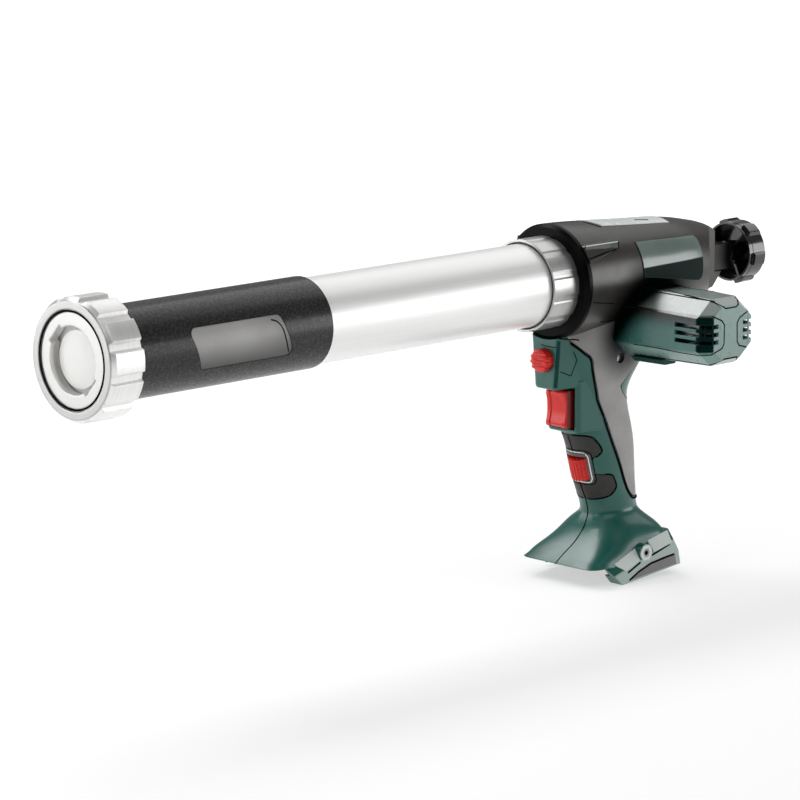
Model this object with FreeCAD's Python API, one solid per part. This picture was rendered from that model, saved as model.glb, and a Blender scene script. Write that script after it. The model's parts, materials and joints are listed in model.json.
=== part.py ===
# Cordless caulking tool: barrel along X with its front face at the origin, handle down, motor to the left
import FreeCAD
import Part
import functools
import math
import os

Vec = FreeCAD.Vector

# Clearances shared by the whole tool
overrun = 5.0
body_gap = 0.3
running_gap = 0.05
seam_gap = 0.5

# Barrel tube and its front thread ring
tube_outer_r = 27.0
tube_wall = 2.0
tube_length = 369.4
tube_flange_step = 1.2
tube_flange_length = 2.7
thread_ring_wall = 6.0
thread_ring_length = 15.0

# Grip sleeve on the tube, with its bare plate
sleeve_wall = 1.6
sleeve_length = 156.0
sleeve_gap = 1.0
sleeve_plate_start = 42.0
sleeve_plate_length = 73.0
sleeve_plate_slant = 10.0
sleeve_plate_depth = 0.7
sleeve_plate_corner = 4.0
sleeve_plate_angles = (62.0, 116.0)

# Cap nut and nozzle plate
cap_length = 24.6
cap_lip = 4.0
cap_rim_wall = 1.9
cap_lobe_rise = 2.1
cap_lobe_setback = 0.8
cap_chamfer = 2.2
cap_lobes = 12
cap_lobe_share = 0.66
cap_flank_share = 0.07
cap_phase = 27.0
plate_setback = 0.8
plate_boss_gap = 1.9
plate_flange_overlap = 2.6
plate_flange_length = 3.2
nozzle_bore_r = 20.5
notch_depth = 1.5
notch_width = 14.0
notch_angle = -48.0
gasket_length = 1.8
gasket_inset = 0.5

# Rear collar, spigot and flange ring
collar_length = 22.0
collar_lip = 3.0
collar_wall = 1.4
collar_flutes = 12
collar_flute_depth = 0.5
seal_width = 1.4
seal_wall = 1.0
spigot_flange_r = 33.0
spigot_flange_length = 4.0
flange_length = 5.0
flange_chamfer = 2.2

# Gear housing, a turned form about the barrel axis
housing_length = 148.0
housing_r = 37.5
housing_wall = 3.2
housing_length_shares = (0, 0.12, 0.31, 0.517, 0.659, 0.765, 0.870, 0.941, 0.973, 1)
housing_radius_shares = (1, 0.982, 0.928, 0.874, 0.838, 0.782, 0.700, 0.632, 0.585, 0.52)
flank_front = 106.0
flank_rear = 141.5
flank_rear_half = 8.6
lip_half = 4.0
lip_root = 6.0
lip_top = 11.2
lip_reach = 12.0
lip_low = 21.2
lip_slant = 9.0
plate_depth = 1.0
plate_proud = 0.3
top_plate_start = 27.0
top_plate_length = 71.5
top_plate_point = 7.5
top_plate_half_width = 12.2
side_plate_start = 51.5
side_plate_length = 62.0
side_plate_top = 22.5
side_plate_height = 27.0
side_plate_fall = 5.0
side_plate_corner = 4.0
wedge_length = 31.0
wedge_top = 26.3
wedge_tall = 10.8
wedge_tip = 4.6
wedge_rise = 1.2
wedge_face = 30.5

# Feed rod with its rack, piston and knob
rod_width = 12.0
rod_top = 7.0
rod_end_r = 5.0
rod_end_length = 12.0
rack_module = 1.5
rack_travel = 360.0
rack_margin = 12.0
rack_backlash = 0.3
pressure_angle = 20.0
root_share = 1.25
piston_gap = 0.35
piston_length = 20.0
piston_nose_r = 17.5
piston_nose_front = 3.2
piston_dome = 2.2
piston_wall = 3.0
piston_hub_r = 10.0
piston_front_inset = 0.6
screw_head_r = 3.2
screw_head_length = 2.6
screw_shank_r = 1.6
bush_length = 8.0
bush_wall = 0.9
knob_clear = 22.5
knob_rim_r = 19.8
knob_rim_length = 3.5
knob_length = 15.0
knob_lobe_r = 21.9
knob_valley_r = 20.0
knob_lobes = 6
knob_lobe_share = 0.33
knob_flank_share = 0.05
knob_phase = 40.0
knob_hollow_r = 18.6
knob_floor = 3.5
knob_hub_r = 7.4
knob_hub_lead = 4.0
knob_ribs = 3
knob_rib_phase = 36.0
knob_rib = 1.8
knob_rib_setback = 3.0
knob_chamfer = 1.6

# Motor axis, cover and drive pinion
motor_setback = 62.0
motor_z = -28.7
pinion_teeth = 27
pinion_width = 11.0
pinion_shaft_r = 5.0
pinion_clear = 1.0
motor_end_y = -100.0
motor_root_y = -16.0
motor_half_x = 25.6
motor_half_z = 23.0
motor_taper = 1.4
motor_end_inset_x = 4.6
motor_end_inset_z = 4.4
motor_end_chamfer = 7.0
motor_corner_x = 13.0
motor_corner_z = 11.0
motor_wall = 2.4
motor_split = 10.0
vent_length = 26.0
vent_height = 2.8
vent_pitch = 5.0
vent_reach = 14.0
vent_count = 3
cover_rib = 3.0

# Motor and planetary gears, listed by their places along the motor axis
gear_case_r = 20.4
gear_case_start = -52.0
gear_case_end = -9.0
stage_module = 0.7
stage_tip_share = 0.8
sun_teeth = 12
planet_teeth = 18
planet_count = 3
stage_backlash = 0.16
stage_width = 6.5
stage_pitch = 12.0
stage_start = -48.5
stage_gap = 0.8
carrier_plate = 2.5
carrier_pin_r = 1.6
carrier_hub_r = 6.0
carrier_hub_length = 5.5
clutch_gap = 0.5
bearing_r = 9.5
bearing_width = 5.0
motor_can_r = 18.5
motor_can_wall = 3.0
motor_can_rear = -89.0
motor_shaft_r = 2.5
motor_bearing_r = 6.5
motor_bearing_width = 4.0
rotor_air_gap = 0.7
rotor_end_gap = 4.0
rotor_slots = 9
rotor_slot_width = 2.4
rotor_slot_depth = 4.0
fan_r = 15.0
fan_width = 5.0
fan_disc = 1.2
fan_hub_r = 5.0
fan_blades = 8
fan_gap = 1.5
bearing_plate_width = 7.0

# Handle and foot, outlines as shares of the handle's reach, drop and width
handle_lead = 10.0
handle_reach = 100.0
handle_drop = 200.0
handle_width = 35.0
handle_wall = 4.6
skin = 2.0
handle_shares = (
    (0.090, 0.120, 1.020, 0.680, 3.0, 1.0),
    (0.180, 0.120, 1.000, 0.620, 3.0, 1.0),
    (0.240, 0.120, 0.970, 0.570, 3.0, 1.0),
    (0.290, 0.145, 0.880, 0.530, 2.8, 1.0),
    (0.335, 0.170, 0.815, 0.510, 2.5, 1.0),
    (0.380, 0.188, 0.768, 0.500, 2.2, 1.0),
    (0.430, 0.207, 0.765, 0.494, 2.1, 1.0),
    (0.490, 0.236, 0.795, 0.494, 2.1, 1.0),
    (0.550, 0.290, 0.820, 0.500, 2.1, 1.0),
    (0.625, 0.340, 0.830, 0.500, 2.1, 1.0),
    (0.700, 0.392, 0.834, 0.500, 2.1, 1.0),
    (0.750, 0.438, 0.838, 0.500, 2.1, 1.0),
    (0.790, 0.456, 0.852, 0.520, 2.2, 0.95),
    (0.815, 0.443, 0.880, 0.720, 2.6, 0.86),
    (0.840, 0.415, 0.910, 0.920, 3.2, 0.80),
    (0.865, 0.370, 0.928, 1.000, 4.0, 0.80),
    (0.890, 0.305, 0.938, 1.000, 5.5, 0.86),
    (0.920, 0.205, 0.945, 1.000, 7.0, 0.94),
    (0.940, 0.150, 0.950, 1.000, 9.0, 0.98),
)
cavity_last_row = 15
section_points = 48
section_steps = 960
neck_front_reach = 4.3
neck_rear_reach = 42.0
neck_top_z = -20.0
neck_bottom_z = -70.5
neck_front_tops = 14.0
neck_front_bottoms = 9.2
neck_rear_half = 17.2
neck_corner = 3.4
neck_lip = 2.2
guard_front_reach = 21.0
guard_rear_reach = 42.0
guard_top_z = -66.0
guard_bottom_z = -101.0
guard_front_half = 13.8
guard_rear_half = 17.0
grip_line_shares = (
    (0.070, 0.165), (0.150, 0.197), (0.240, 0.234), (0.296, 0.256), (0.323, 0.298),
    (0.360, 0.360), (0.380, 0.400), (0.440, 0.465), (0.500, 0.535), (0.580, 0.625),
    (0.640, 0.700), (0.680, 0.732), (0.730, 0.747),
)
grip_rear_share = 1.3
grip_top_share = 0.05
grip_foot_share = 0.747
window_shares = (
    (0.760, 0.305), (0.680, 0.328), (0.600, 0.358), (0.590, 0.373), (0.620, 0.393),
    (0.660, 0.408), (0.700, 0.418), (1.0, 0.418), (1.0, 0.305),
)
pad_shares = (
    (0.100, 0.505), (0.340, 0.520), (0.390, 0.540), (0.430, 0.570), (0.410, 0.588),
    (0.380, 0.598), (0.370, 0.615), (0.380, 0.650), (0.500, 0.655), (0.535, 0.675),
    (0.550, 0.700), (0.510, 0.728), (0.430, 0.744), (0.200, 0.762),
)
pad_corner = 1.6

# Foot cheeks that carry the battery rails, outlines as shares of the handle's reach and drop
cheek_inner = 27.0
cheek_shoulder = 32.5
cheek_outer = 38.0
cheek_shoulder_shares = ((0.280, 0.940), (0.880, 0.853), (0.925, 0.905))
cheek_face_shares = ((0.320, 0.968), (0.880, 0.888), (0.925, 0.925))
cheek_low_shares = ((0.945, 0.972), (0.390, 1.0))
right_cheek_front_share = 0.68
right_cheek_low_share = 0.95
groove_shares = ((0.20, 0.945), (0.88, 0.945), (0.88, 0.970), (0.20, 0.970))
groove_depth = 4.5
bumper_shares = ((0.445, 0.990), (0.540, 0.965), (0.660, 0.945), (0.890, 0.935), (0.905, 0.970))
bumper_depth = 1.5
boss_r = 5.6
insert_reach = 61.5
insert_drop_share = 0.91
insert_flat_r = 4.0
insert_length = 9.0
insert_bore_r = 1.65

# Trigger, release button, speed dial and their springs
trigger_reach = 14.8
trigger_depth = 14.0
trigger_half_width = 9.5
trigger_top_z = -72.0
trigger_height = 25.0
trigger_corner = 3.0
trigger_scoop_r = 30.0
trigger_scoop_depth = 1.6
trigger_travel = 6.0
trigger_side_gap = 1.5
trigger_end_gap = 1.5
trigger_stem_r = 3.0
trigger_stem_length = 14.0
switch_length = 24.0
switch_height = 34.0
switch_half_width = 13.2
switch_lead = 10.0
spring_wire_r = 0.5
spring_end_gap = 0.1
trigger_spring_r = 4.6
button_spring_r = 4.6
spring_turns = 3
button_lead = 2.5
button_z = -51.0
button_r = 7.5
button_length = 12.0
button_lip_r = 9.2
button_lip = 2.0
button_ridge = 1.4
button_ridges = 4
button_pin_r = 3.0
button_pin_length = 6.0
button_dome = 2.0
button_spring_length = 10.0
stop_width = 3.0
stop_half_width = 22.0
stop_height = 16.0
dial_reach = 40.4
dial_drop_share = 0.63
dial_r = 8.0
dial_height = 15.0
dial_tilt = 17.0
dial_ridges = 22
dial_ridge = 0.6
dial_gap = 0.5
dial_window_half = 8.4
dial_window_height = 15.0
bezel_rim = 2.2
bezel_proud = 0.5
pot_r = 4.5
pot_height = 6.0
pot_pin_r = 3.0

# Battery contacts and board in the foot
block_reach = 42.0
block_length = 38.0
block_half_width = 16.0
block_drop_share = 0.895
block_height = 14.0
blade_count = 4
blade_thick = 0.8
blade_pitch = 8.0
blade_height = 8.0
blade_length = 16.0
board_thick = 1.6
board_margin = 1.5
room_margin = 6.0
room_height = 13.0

# Case screws as places in the handle's reach and drop, and the posts they pull together
left_screw_shares = ((0.56, 0.27),)
right_screw_shares = ((0.56, 0.54), (0.66, 0.76))
housing_screws = ((25.0, 26.0), (119.0, 17.0))
post_r = 4.6
screw_sink = 3.4
screw_length = 26.0

# Values worked out from the driving dimensions
tube_inner_r = tube_outer_r - tube_wall
thread_r = tube_outer_r + thread_ring_wall
cap_bore_r = thread_r + body_gap
cap_rim_r = cap_bore_r + cap_rim_wall
cap_lobe_r = cap_rim_r + cap_lobe_rise
plate_flange_x = cap_lip + body_gap
plate_flange_r = cap_bore_r - body_gap
cap_hole_r = plate_flange_r - plate_flange_overlap
plate_boss_r = cap_hole_r - plate_boss_gap
gasket_x = plate_flange_x + plate_flange_length
tube_front_x = gasket_x + gasket_length + body_gap
tube_rear_x = tube_front_x + tube_length
sleeve_r = tube_outer_r + sleeve_wall
sleeve_front_x = tube_front_x + thread_ring_length + sleeve_gap
tube_flange_r = tube_outer_r + tube_flange_step
collar_bore_r = tube_flange_r + body_gap
collar_r = collar_bore_r + collar_wall
collar_front_x = tube_rear_x - tube_flange_length - body_gap - collar_lip
collar_rear_x = collar_front_x + collar_length
spigot_front_x = tube_rear_x + body_gap
housing_front_x = collar_rear_x + flange_length
housing_rear_x = housing_front_x + housing_length
knob_front_x = housing_rear_x + knob_clear
motor_x = housing_front_x + motor_setback
handle_x = housing_front_x - handle_lead
neck_front_x = handle_x + neck_front_reach
neck_rear_x = handle_x + neck_rear_reach
guard_front_x = handle_x + guard_front_reach
guard_rear_x = handle_x + guard_rear_reach
insert_x = handle_x + insert_reach
insert_z = -insert_drop_share * handle_drop
trigger_front_x = handle_x + trigger_reach
button_x = handle_x - button_lead
dial_x = handle_x + dial_reach
dial_z = -dial_drop_share * handle_drop
block_x = handle_x + block_reach
block_top_z = -block_drop_share * handle_drop
pinion_r = pinion_teeth * rack_module / 2
rack_line_z = motor_z + pinion_r
rod_bottom = rack_line_z - rack_module
piston_r = tube_inner_r - piston_gap
piston_front_x = tube_front_x - piston_front_inset
rod_front_x = piston_front_x + piston_length
rod_rear_x = knob_front_x - knob_hub_lead
sun_r = sun_teeth * stage_module / 2
planet_r = planet_teeth * stage_module / 2
ring_teeth = sun_teeth + 2 * planet_teeth
planet_orbit = sun_r + planet_r
switch_front_x = trigger_front_x + trigger_depth + switch_lead
trigger_mid_z = trigger_top_z - trigger_height / 2


def barrel_cylinder(x0, x1, r):
    return Part.makeCylinder(r, x1 - x0, Vec(x0, 0, 0), Vec(1, 0, 0))


def barrel_ring(x0, x1, r_in, r_out):
    core = barrel_cylinder(x0 - overrun, x1 + overrun, r_in)
    return barrel_cylinder(x0, x1, r_out).cut(core)


def axis_cylinder(x, z, y0, y1, r):
    return Part.makeCylinder(r, y1 - y0, Vec(x, y0, z), Vec(0, 1, 0))


def motor_cylinder(y0, y1, r):
    return axis_cylinder(motor_x, motor_z, y0, y1, r)


def motor_ring(y0, y1, r_in, r_out):
    return motor_cylinder(y0, y1, r_out).cut(motor_cylinder(y0 - overrun, y1 + overrun, r_in))


def block(x0, x1, y0, y1, z0, z1):
    return Part.makeBox(x1 - x0, y1 - y0, z1 - z0, Vec(x0, y0, z0))


def fuse_all(shapes):
    return shapes[0].multiFuse(shapes[1:]).removeSplitter()


def polygon_face(points):
    return Part.Face(Part.makePolygon(points + [points[0]]))


def prism_along_y(points, y0, y1):
    face = polygon_face([Vec(x, y0, z) for x, z in points])
    return face.extrude(Vec(0, y1 - y0, 0))


def prism_along_z(points, z0, z1):
    face = polygon_face([Vec(x, y, z0) for x, y in points])
    return face.extrude(Vec(0, 0, z1 - z0))


def mirrored(shape):
    return shape.mirror(Vec(0, 0, 0), Vec(0, 1, 0))


def left_half(shape):
    box = shape.BoundBox
    side = block(box.XMin - overrun, box.XMax + overrun, box.YMin - overrun, 0,
                 box.ZMin - overrun, box.ZMax + overrun)
    return shape.common(side)


def right_half(shape):
    box = shape.BoundBox
    side = block(box.XMin - overrun, box.XMax + overrun, 0, box.YMax + overrun,
                 box.ZMin - overrun, box.ZMax + overrun)
    return shape.common(side)


def polar(x, r, degrees):
    angle = math.radians(degrees)
    return Vec(x, -r * math.sin(angle), r * math.cos(angle))


def lobed_prism(x0, x1, r_low, r_high, lobes, lobe_share, flank_share, phase):
    pitch = 360.0 / lobes
    half_lobe = lobe_share * pitch / 2
    half_foot = half_lobe + flank_share * pitch
    edges = []
    for k in range(lobes):
        mid = phase + k * pitch
        start = polar(x0, r_high, mid - half_lobe)
        end = polar(x0, r_high, mid + half_lobe)
        foot = polar(x0, r_low, mid + half_foot)
        next_foot = polar(x0, r_low, mid + pitch - half_foot)
        next_start = polar(x0, r_high, mid + pitch - half_lobe)
        edges.append(Part.Arc(start, polar(x0, r_high, mid), end).toShape())
        edges.append(Part.makeLine(end, foot))
        edges.append(Part.Arc(foot, polar(x0, r_low, mid + pitch / 2), next_foot).toShape())
        edges.append(Part.makeLine(next_foot, next_start))
    return Part.Face(Part.Wire(edges)).extrude(Vec(x1 - x0, 0, 0))


def turned(profile):
    face = polygon_face([Vec(x, 0, r) for x, r in profile])
    return face.revolve(Vec(0, 0, 0), Vec(1, 0, 0), 360)


# Gear teeth in the plane across the motor axis, angles counted from up towards the rear
def involute(radius, base):
    if radius <= base:
        return 0
    angle = math.acos(base / radius)
    return math.tan(angle) - angle


def gear(teeth, module, addendum, dedendum, backlash, phase, x, z, y0, y1):
    pitch_r = teeth * module / 2
    base = pitch_r * math.cos(math.radians(pressure_angle))
    half_tooth = math.pi / (2 * teeth) - backlash / (2 * pitch_r)
    root_r = pitch_r - dedendum
    tip_r = pitch_r + addendum
    flank_shares = (0, 0.3, 0.55, 0.8, 1)
    points = []
    for k in range(teeth):
        mid = phase + 2 * math.pi * k / teeth
        flank = []
        for share in flank_shares:
            r = root_r + share * (tip_r - root_r)
            flank.append((r, half_tooth + involute(pitch_r, base) - involute(r, base)))
        corners = [(r, mid - a) for r, a in flank] + [(r, mid + a) for r, a in reversed(flank)]
        points += [Vec(x + r * math.sin(a), y0, z + r * math.cos(a)) for r, a in corners]
    return polygon_face(points).extrude(Vec(0, y1 - y0, 0))


def stage_gear(teeth, phase, x, z, y0, y1):
    addendum = stage_tip_share * stage_module
    dedendum = root_share * stage_module
    return gear(teeth, stage_module, addendum, dedendum, stage_backlash, phase, x, z, y0, y1)


# Barrel
def barrel_tube():
    tube = barrel_ring(tube_front_x, tube_rear_x, tube_inner_r, tube_outer_r)
    rim = barrel_ring(tube_rear_x - tube_flange_length, tube_rear_x, tube_inner_r, tube_flange_r)
    return fuse_all([tube, rim])


def front_thread_ring():
    return barrel_ring(tube_front_x, tube_front_x + thread_ring_length, tube_outer_r, thread_r)


def sleeve_plate_tool():
    start = sleeve_front_x + sleeve_plate_start
    end = start + sleeve_plate_length
    low, high = (sleeve_r * math.cos(math.radians(a)) for a in reversed(sleeve_plate_angles))
    points = [(start, high), (end, high), (end + sleeve_plate_slant, low), (start + sleeve_plate_slant, low)]
    tool = prism_along_y(points, -sleeve_r - overrun, 0)
    corners = [e for e in tool.Edges if abs(e.tangentAt(e.FirstParameter).y) > 0.5]
    return tool.makeFillet(sleeve_plate_corner, corners)


def grip_sleeve():
    sleeve = barrel_ring(sleeve_front_x, sleeve_front_x + sleeve_length, tube_outer_r, sleeve_r)
    shallow = barrel_cylinder(sleeve_front_x, sleeve_front_x + sleeve_length, sleeve_r - sleeve_plate_depth)
    return sleeve.cut(sleeve_plate_tool().cut(shallow))


def sleeve_plate():
    band = barrel_ring(sleeve_front_x, sleeve_front_x + sleeve_length,
                       sleeve_r - sleeve_plate_depth, sleeve_r - sleeve_plate_depth / 2)
    return band.common(sleeve_plate_tool())


# Cap
def cap_nut():
    rim = barrel_cylinder(0, cap_length, cap_rim_r)
    lobes = lobed_prism(cap_lobe_setback, cap_length, cap_rim_r, cap_lobe_r, cap_lobes,
                        cap_lobe_share, cap_flank_share, cap_phase)
    chamfered = turned([(0, 0), (0, cap_rim_r), (cap_lobe_setback, cap_rim_r),
                        (cap_lobe_setback + cap_chamfer, cap_lobe_r), (cap_length, cap_lobe_r),
                        (cap_length, 0)])
    body = rim.fuse(lobes.common(chamfered))
    body = body.cut(barrel_cylinder(-overrun, cap_length, cap_hole_r))
    return body.cut(barrel_cylinder(cap_lip, cap_length + overrun, cap_bore_r)).removeSplitter()


def nozzle_plate():
    boss = barrel_cylinder(plate_setback, plate_flange_x + plate_flange_length, plate_boss_r)
    rim = barrel_cylinder(plate_flange_x, plate_flange_x + plate_flange_length, plate_flange_r)
    plate = boss.fuse(rim).cut(barrel_cylinder(-overrun, gasket_x + overrun, nozzle_bore_r))
    reach = nozzle_bore_r + notch_depth
    notch = block(-overrun, gasket_x + overrun, -notch_width / 2, notch_width / 2, -reach, reach)
    notch.rotate(Vec(0, 0, 0), Vec(1, 0, 0), notch_angle)
    return plate.cut(notch).removeSplitter()


def cap_gasket():
    return barrel_ring(gasket_x, gasket_x + gasket_length, tube_inner_r + gasket_inset, plate_flange_r)


# Collar, spigot and flange
def collar_nut():
    depth_r = collar_r - collar_flute_depth
    body = lobed_prism(collar_front_x, collar_rear_x, depth_r, collar_r, collar_flutes,
                       cap_lobe_share, cap_flank_share, cap_phase)
    seal_r = tube_outer_r + body_gap + seal_wall
    body = body.cut(barrel_cylinder(collar_front_x - overrun, collar_rear_x, tube_outer_r + body_gap))
    body = body.cut(barrel_cylinder(collar_front_x - overrun, collar_front_x + seal_width, seal_r))
    return body.cut(barrel_cylinder(collar_front_x + collar_lip, collar_rear_x + overrun, collar_bore_r))


def collar_seal():
    inner_r = tube_outer_r + body_gap
    return barrel_ring(collar_front_x, collar_front_x + seal_width, inner_r, inner_r + seal_wall)


def barrel_spigot():
    neck = barrel_ring(spigot_front_x, housing_front_x + spigot_flange_length, tube_inner_r, collar_bore_r)
    rim = barrel_ring(housing_front_x, housing_front_x + spigot_flange_length, tube_inner_r, spigot_flange_r)
    return fuse_all([neck, rim])


def front_flange():
    return turned([(collar_rear_x, collar_bore_r), (collar_rear_x, housing_r - flange_chamfer),
                   (collar_rear_x + flange_chamfer, housing_r), (housing_front_x, housing_r),
                   (housing_front_x, collar_bore_r)])


# Gear housing
@functools.cache
def housing_form(offset, lead, tail):
    points = []
    for along, share in zip(housing_length_shares, housing_radius_shares):
        points.append(Vec(housing_front_x + along * housing_length, 0, share * housing_r + offset))
    points[0].x += lead
    points[-1].x += tail
    curve = Part.BSplineCurve()
    curve.interpolate(points)
    start = Vec(points[0].x, 0, 0)
    end = Vec(points[-1].x, 0, 0)
    edges = [curve.toShape(), Part.makeLine(points[-1], end), Part.makeLine(end, start),
             Part.makeLine(start, points[0])]
    body = Part.Face(Part.Wire(edges)).revolve(Vec(0, 0, 0), Vec(1, 0, 0), 360)
    return body.common(flank_form(offset))


def flank_form(offset):
    front = housing_front_x - 2 * overrun
    rear = housing_front_x + housing_length + 2 * overrun
    wide = housing_r + overrun + offset
    narrow = flank_rear_half + offset
    start = housing_front_x + flank_front + offset
    end = housing_front_x + flank_rear + offset
    points = [(front, -wide), (start, -wide), (end, -narrow), (rear, -narrow),
              (rear, narrow), (end, narrow), (start, wide), (front, wide)]
    return prism_along_z(points, -housing_r - 2 * overrun, housing_r + 2 * overrun)


def rear_lip():
    points = [(housing_rear_x - lip_root, -lip_top), (housing_rear_x + lip_reach, -lip_top),
              (housing_rear_x + lip_reach - lip_slant, -lip_low), (housing_rear_x - lip_root, -lip_low)]
    return prism_along_y(points, -lip_half, lip_half)


def rear_bush_form(x0, x1):
    half = rod_width / 2 + body_gap + bush_wall
    return block(x0, x1, -half, half, rod_bottom - body_gap - bush_wall, rod_top + body_gap + bush_wall)


def top_plate_tool():
    start = housing_front_x + top_plate_start
    shoulder = start + top_plate_point
    end = start + top_plate_length
    wide = top_plate_half_width
    points = [(start, 0), (shoulder, -wide), (end, -wide), (end, wide), (shoulder, wide)]
    return prism_along_z(points, 0, housing_r + overrun)


def side_plate_tool():
    start = housing_front_x + side_plate_start
    end = start + side_plate_length
    low = side_plate_top - side_plate_height
    points = [(start, side_plate_top), (end, side_plate_top - side_plate_fall / 2),
              (end, low - side_plate_fall), (start, low + side_plate_fall)]
    tool = prism_along_y(points, -housing_r - overrun, 0)
    corners = [e for e in tool.Edges if abs(e.tangentAt(e.FirstParameter).y) > 0.5
               and e.CenterOfMass.x > start + side_plate_length / 2]
    return tool.makeFillet(side_plate_corner, corners)


@functools.cache
def plate_band():
    return housing_form(plate_proud, 0, 0).cut(housing_form(-plate_depth, -overrun, overrun))


def wedge():
    start = housing_front_x
    end = start + wedge_length
    points = [(start, wedge_top), (end, wedge_top), (end, wedge_top - wedge_tip),
              (start, wedge_top - wedge_tall)]
    rise = prism_along_y(points, -housing_r - overrun, 0).common(housing_form(wedge_rise, 0, 0))
    return rise.fuse(prism_along_y(points, -wedge_face, 0))


@functools.cache
def gear_bore():
    wheel = motor_cylinder(-pinion_width / 2 - pinion_clear, pinion_width / 2 + pinion_clear,
                           pinion_r + rack_module + pinion_clear)
    plate_end = pinion_width / 2 + pinion_clear + bearing_plate_width
    return fuse_all([motor_cylinder(gear_case_start, plate_end, gear_case_r), wheel])


def housing_posts():
    posts = []
    for along, z in housing_screws:
        posts.append(axis_cylinder(housing_front_x + along, z, -housing_r, housing_r, post_r))
    return posts


def housing_shell():
    outer = housing_form(0, 0, 0)
    hollow = housing_form(-housing_wall, -overrun, -housing_wall)
    for post in housing_posts():
        hollow = hollow.cut(post)
    shell = outer.fuse([wedge(), mirrored(wedge())]).cut(hollow).fuse(rear_lip())
    shell = shell.cut(barrel_cylinder(housing_front_x - overrun, housing_front_x + spigot_flange_length,
                                      spigot_flange_r))
    shell = shell.cut([rear_bush_form(housing_rear_x - bush_length - housing_wall, housing_rear_x),
                       rod_slot(housing_rear_x - overrun, housing_rear_x + lip_reach + overrun)])
    sides = side_plate_tool()
    pockets = plate_band().common(top_plate_tool().fuse([sides, mirrored(sides)]))
    shell = shell.cut(pockets).cut(gear_bore())
    return shell.cut(case_screw_holes())


def top_plate():
    return plate_band().common(top_plate_tool())


def side_plate():
    return plate_band().common(side_plate_tool())


# Handle
def handle_points(shares):
    return [(handle_x + a * handle_reach, -b * handle_drop) for a, b in shares]


def section_outline(row, inset):
    level, front, rear, wide, power, nose = row
    x0 = handle_x + front * handle_reach + inset
    x1 = handle_x + rear * handle_reach - inset
    outline = []
    for k in range(section_steps + 1):
        turn = 2 * math.pi * k / section_steps
        c, s = math.cos(turn), math.sin(turn)
        along = (1 + math.copysign(abs(c) ** (2 / power), c)) / 2
        half_width = (nose + (1 - nose) * along) * wide * handle_width - inset
        outline.append(Vec(x0 + (x1 - x0) * along, half_width * math.copysign(abs(s) ** (2 / power), s),
                           -level * handle_drop))
    return outline


def evenly_spaced(outline, count):
    run = [0]
    for a, b in zip(outline, outline[1:]):
        run.append(run[-1] + a.distanceToPoint(b))
    points = []
    n = 0
    for k in range(count):
        target = run[-1] * k / count
        while run[n + 1] < target:
            n += 1
        share = (target - run[n]) / (run[n + 1] - run[n])
        points.append(outline[n] + (outline[n + 1] - outline[n]) * share)
    return points


def handle_section(row, inset):
    points = evenly_spaced(section_outline(row, inset), section_points)
    curve = Part.BSplineCurve()
    knots = [k / section_points for k in range(section_points + 1)]
    curve.interpolate(points, PeriodicFlag=True, Parameters=knots)
    return Part.Wire(curve.toShape())


def block_outline(front, rear, z, front_half, rear_half):
    corners = [(front, -front_half), (rear, -rear_half), (rear, rear_half), (front, front_half)]
    points = [Vec(x, y, z) for x, y in corners]
    return Part.makePolygon(points + [points[0]])


def rounded_block(top, bottom):
    body = Part.makeLoft([top, bottom], True, True)
    front = body.BoundBox.XMin
    low = body.BoundBox.ZMin
    upright_edges = [e for e in body.Edges if e.BoundBox.XMax < front + running_gap
                     and e.BoundBox.ZLength > neck_lip]
    body = body.makeFillet(neck_corner, upright_edges)
    low_edges = [e for e in body.Edges if e.BoundBox.ZMax < low + running_gap
                 and e.BoundBox.XMax < front + neck_corner + running_gap]
    return body.makeFillet(neck_lip, low_edges)


def neck_block(inset):
    front = neck_front_x + inset
    rear_half = neck_rear_half - inset
    top = block_outline(front, neck_rear_x, neck_top_z, neck_front_tops - inset, rear_half)
    bottom = block_outline(front, neck_rear_x, neck_bottom_z + inset, neck_front_bottoms - inset, rear_half)
    return rounded_block(top, bottom)


def guard_block(inset):
    levels = (guard_top_z, guard_bottom_z + inset)
    outlines = [block_outline(guard_front_x + inset, guard_rear_x, z, guard_front_half - inset,
                              guard_rear_half - inset) for z in levels]
    return rounded_block(*outlines)


def handle_pieces(inset, rows):
    grip = Part.makeLoft([handle_section(row, inset) for row in rows], True, False)
    return [grip, neck_block(inset), guard_block(inset)]


@functools.cache
def handle_form(inset, rows):
    grip, neck, guard = handle_pieces(inset, rows)
    return grip.fuse([neck, guard])


def cheek_outline(y, top_shares):
    points = [Vec(x, -y, z) for x, z in handle_points(top_shares + cheek_low_shares)]
    return Part.makePolygon(points + [points[0]])


def cheek():
    inner = Part.Face(cheek_outline(cheek_inner, cheek_shoulder_shares))
    inner = inner.extrude(Vec(0, cheek_inner - cheek_shoulder, 0))
    slant = [cheek_outline(cheek_shoulder, cheek_shoulder_shares),
             cheek_outline(cheek_outer, cheek_face_shares)]
    outer = Part.makeLoft(slant, True, True)
    boss = axis_cylinder(insert_x, insert_z, -cheek_outer, -cheek_inner, boss_r)
    groove = prism_along_y(handle_points(groove_shares), -cheek_inner - groove_depth, 0)
    return inner.fuse([outer, boss]).cut(groove)


def right_cheek():
    front = handle_x + right_cheek_front_share * handle_reach
    top = -right_cheek_low_share * handle_drop
    low = -handle_drop - overrun
    return mirrored(cheek()).cut(block(handle_x, front, 0, cheek_outer + overrun, low, top))


def insert_form():
    return axis_cylinder(insert_x, insert_z, -cheek_outer, -cheek_outer + insert_length, insert_flat_r)


def bumper_tool():
    return prism_along_y(handle_points(bumper_shares), -cheek_outer, -cheek_outer + bumper_depth)


def rail_bumpers():
    return Part.makeCompound([bumper_tool(), mirrored(bumper_tool())])


def hook_inserts():
    bore = axis_cylinder(insert_x, insert_z, -cheek_outer - overrun, 0, insert_bore_r)
    body = insert_form().cut(bore)
    return Part.makeCompound([body, mirrored(body)])


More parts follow.
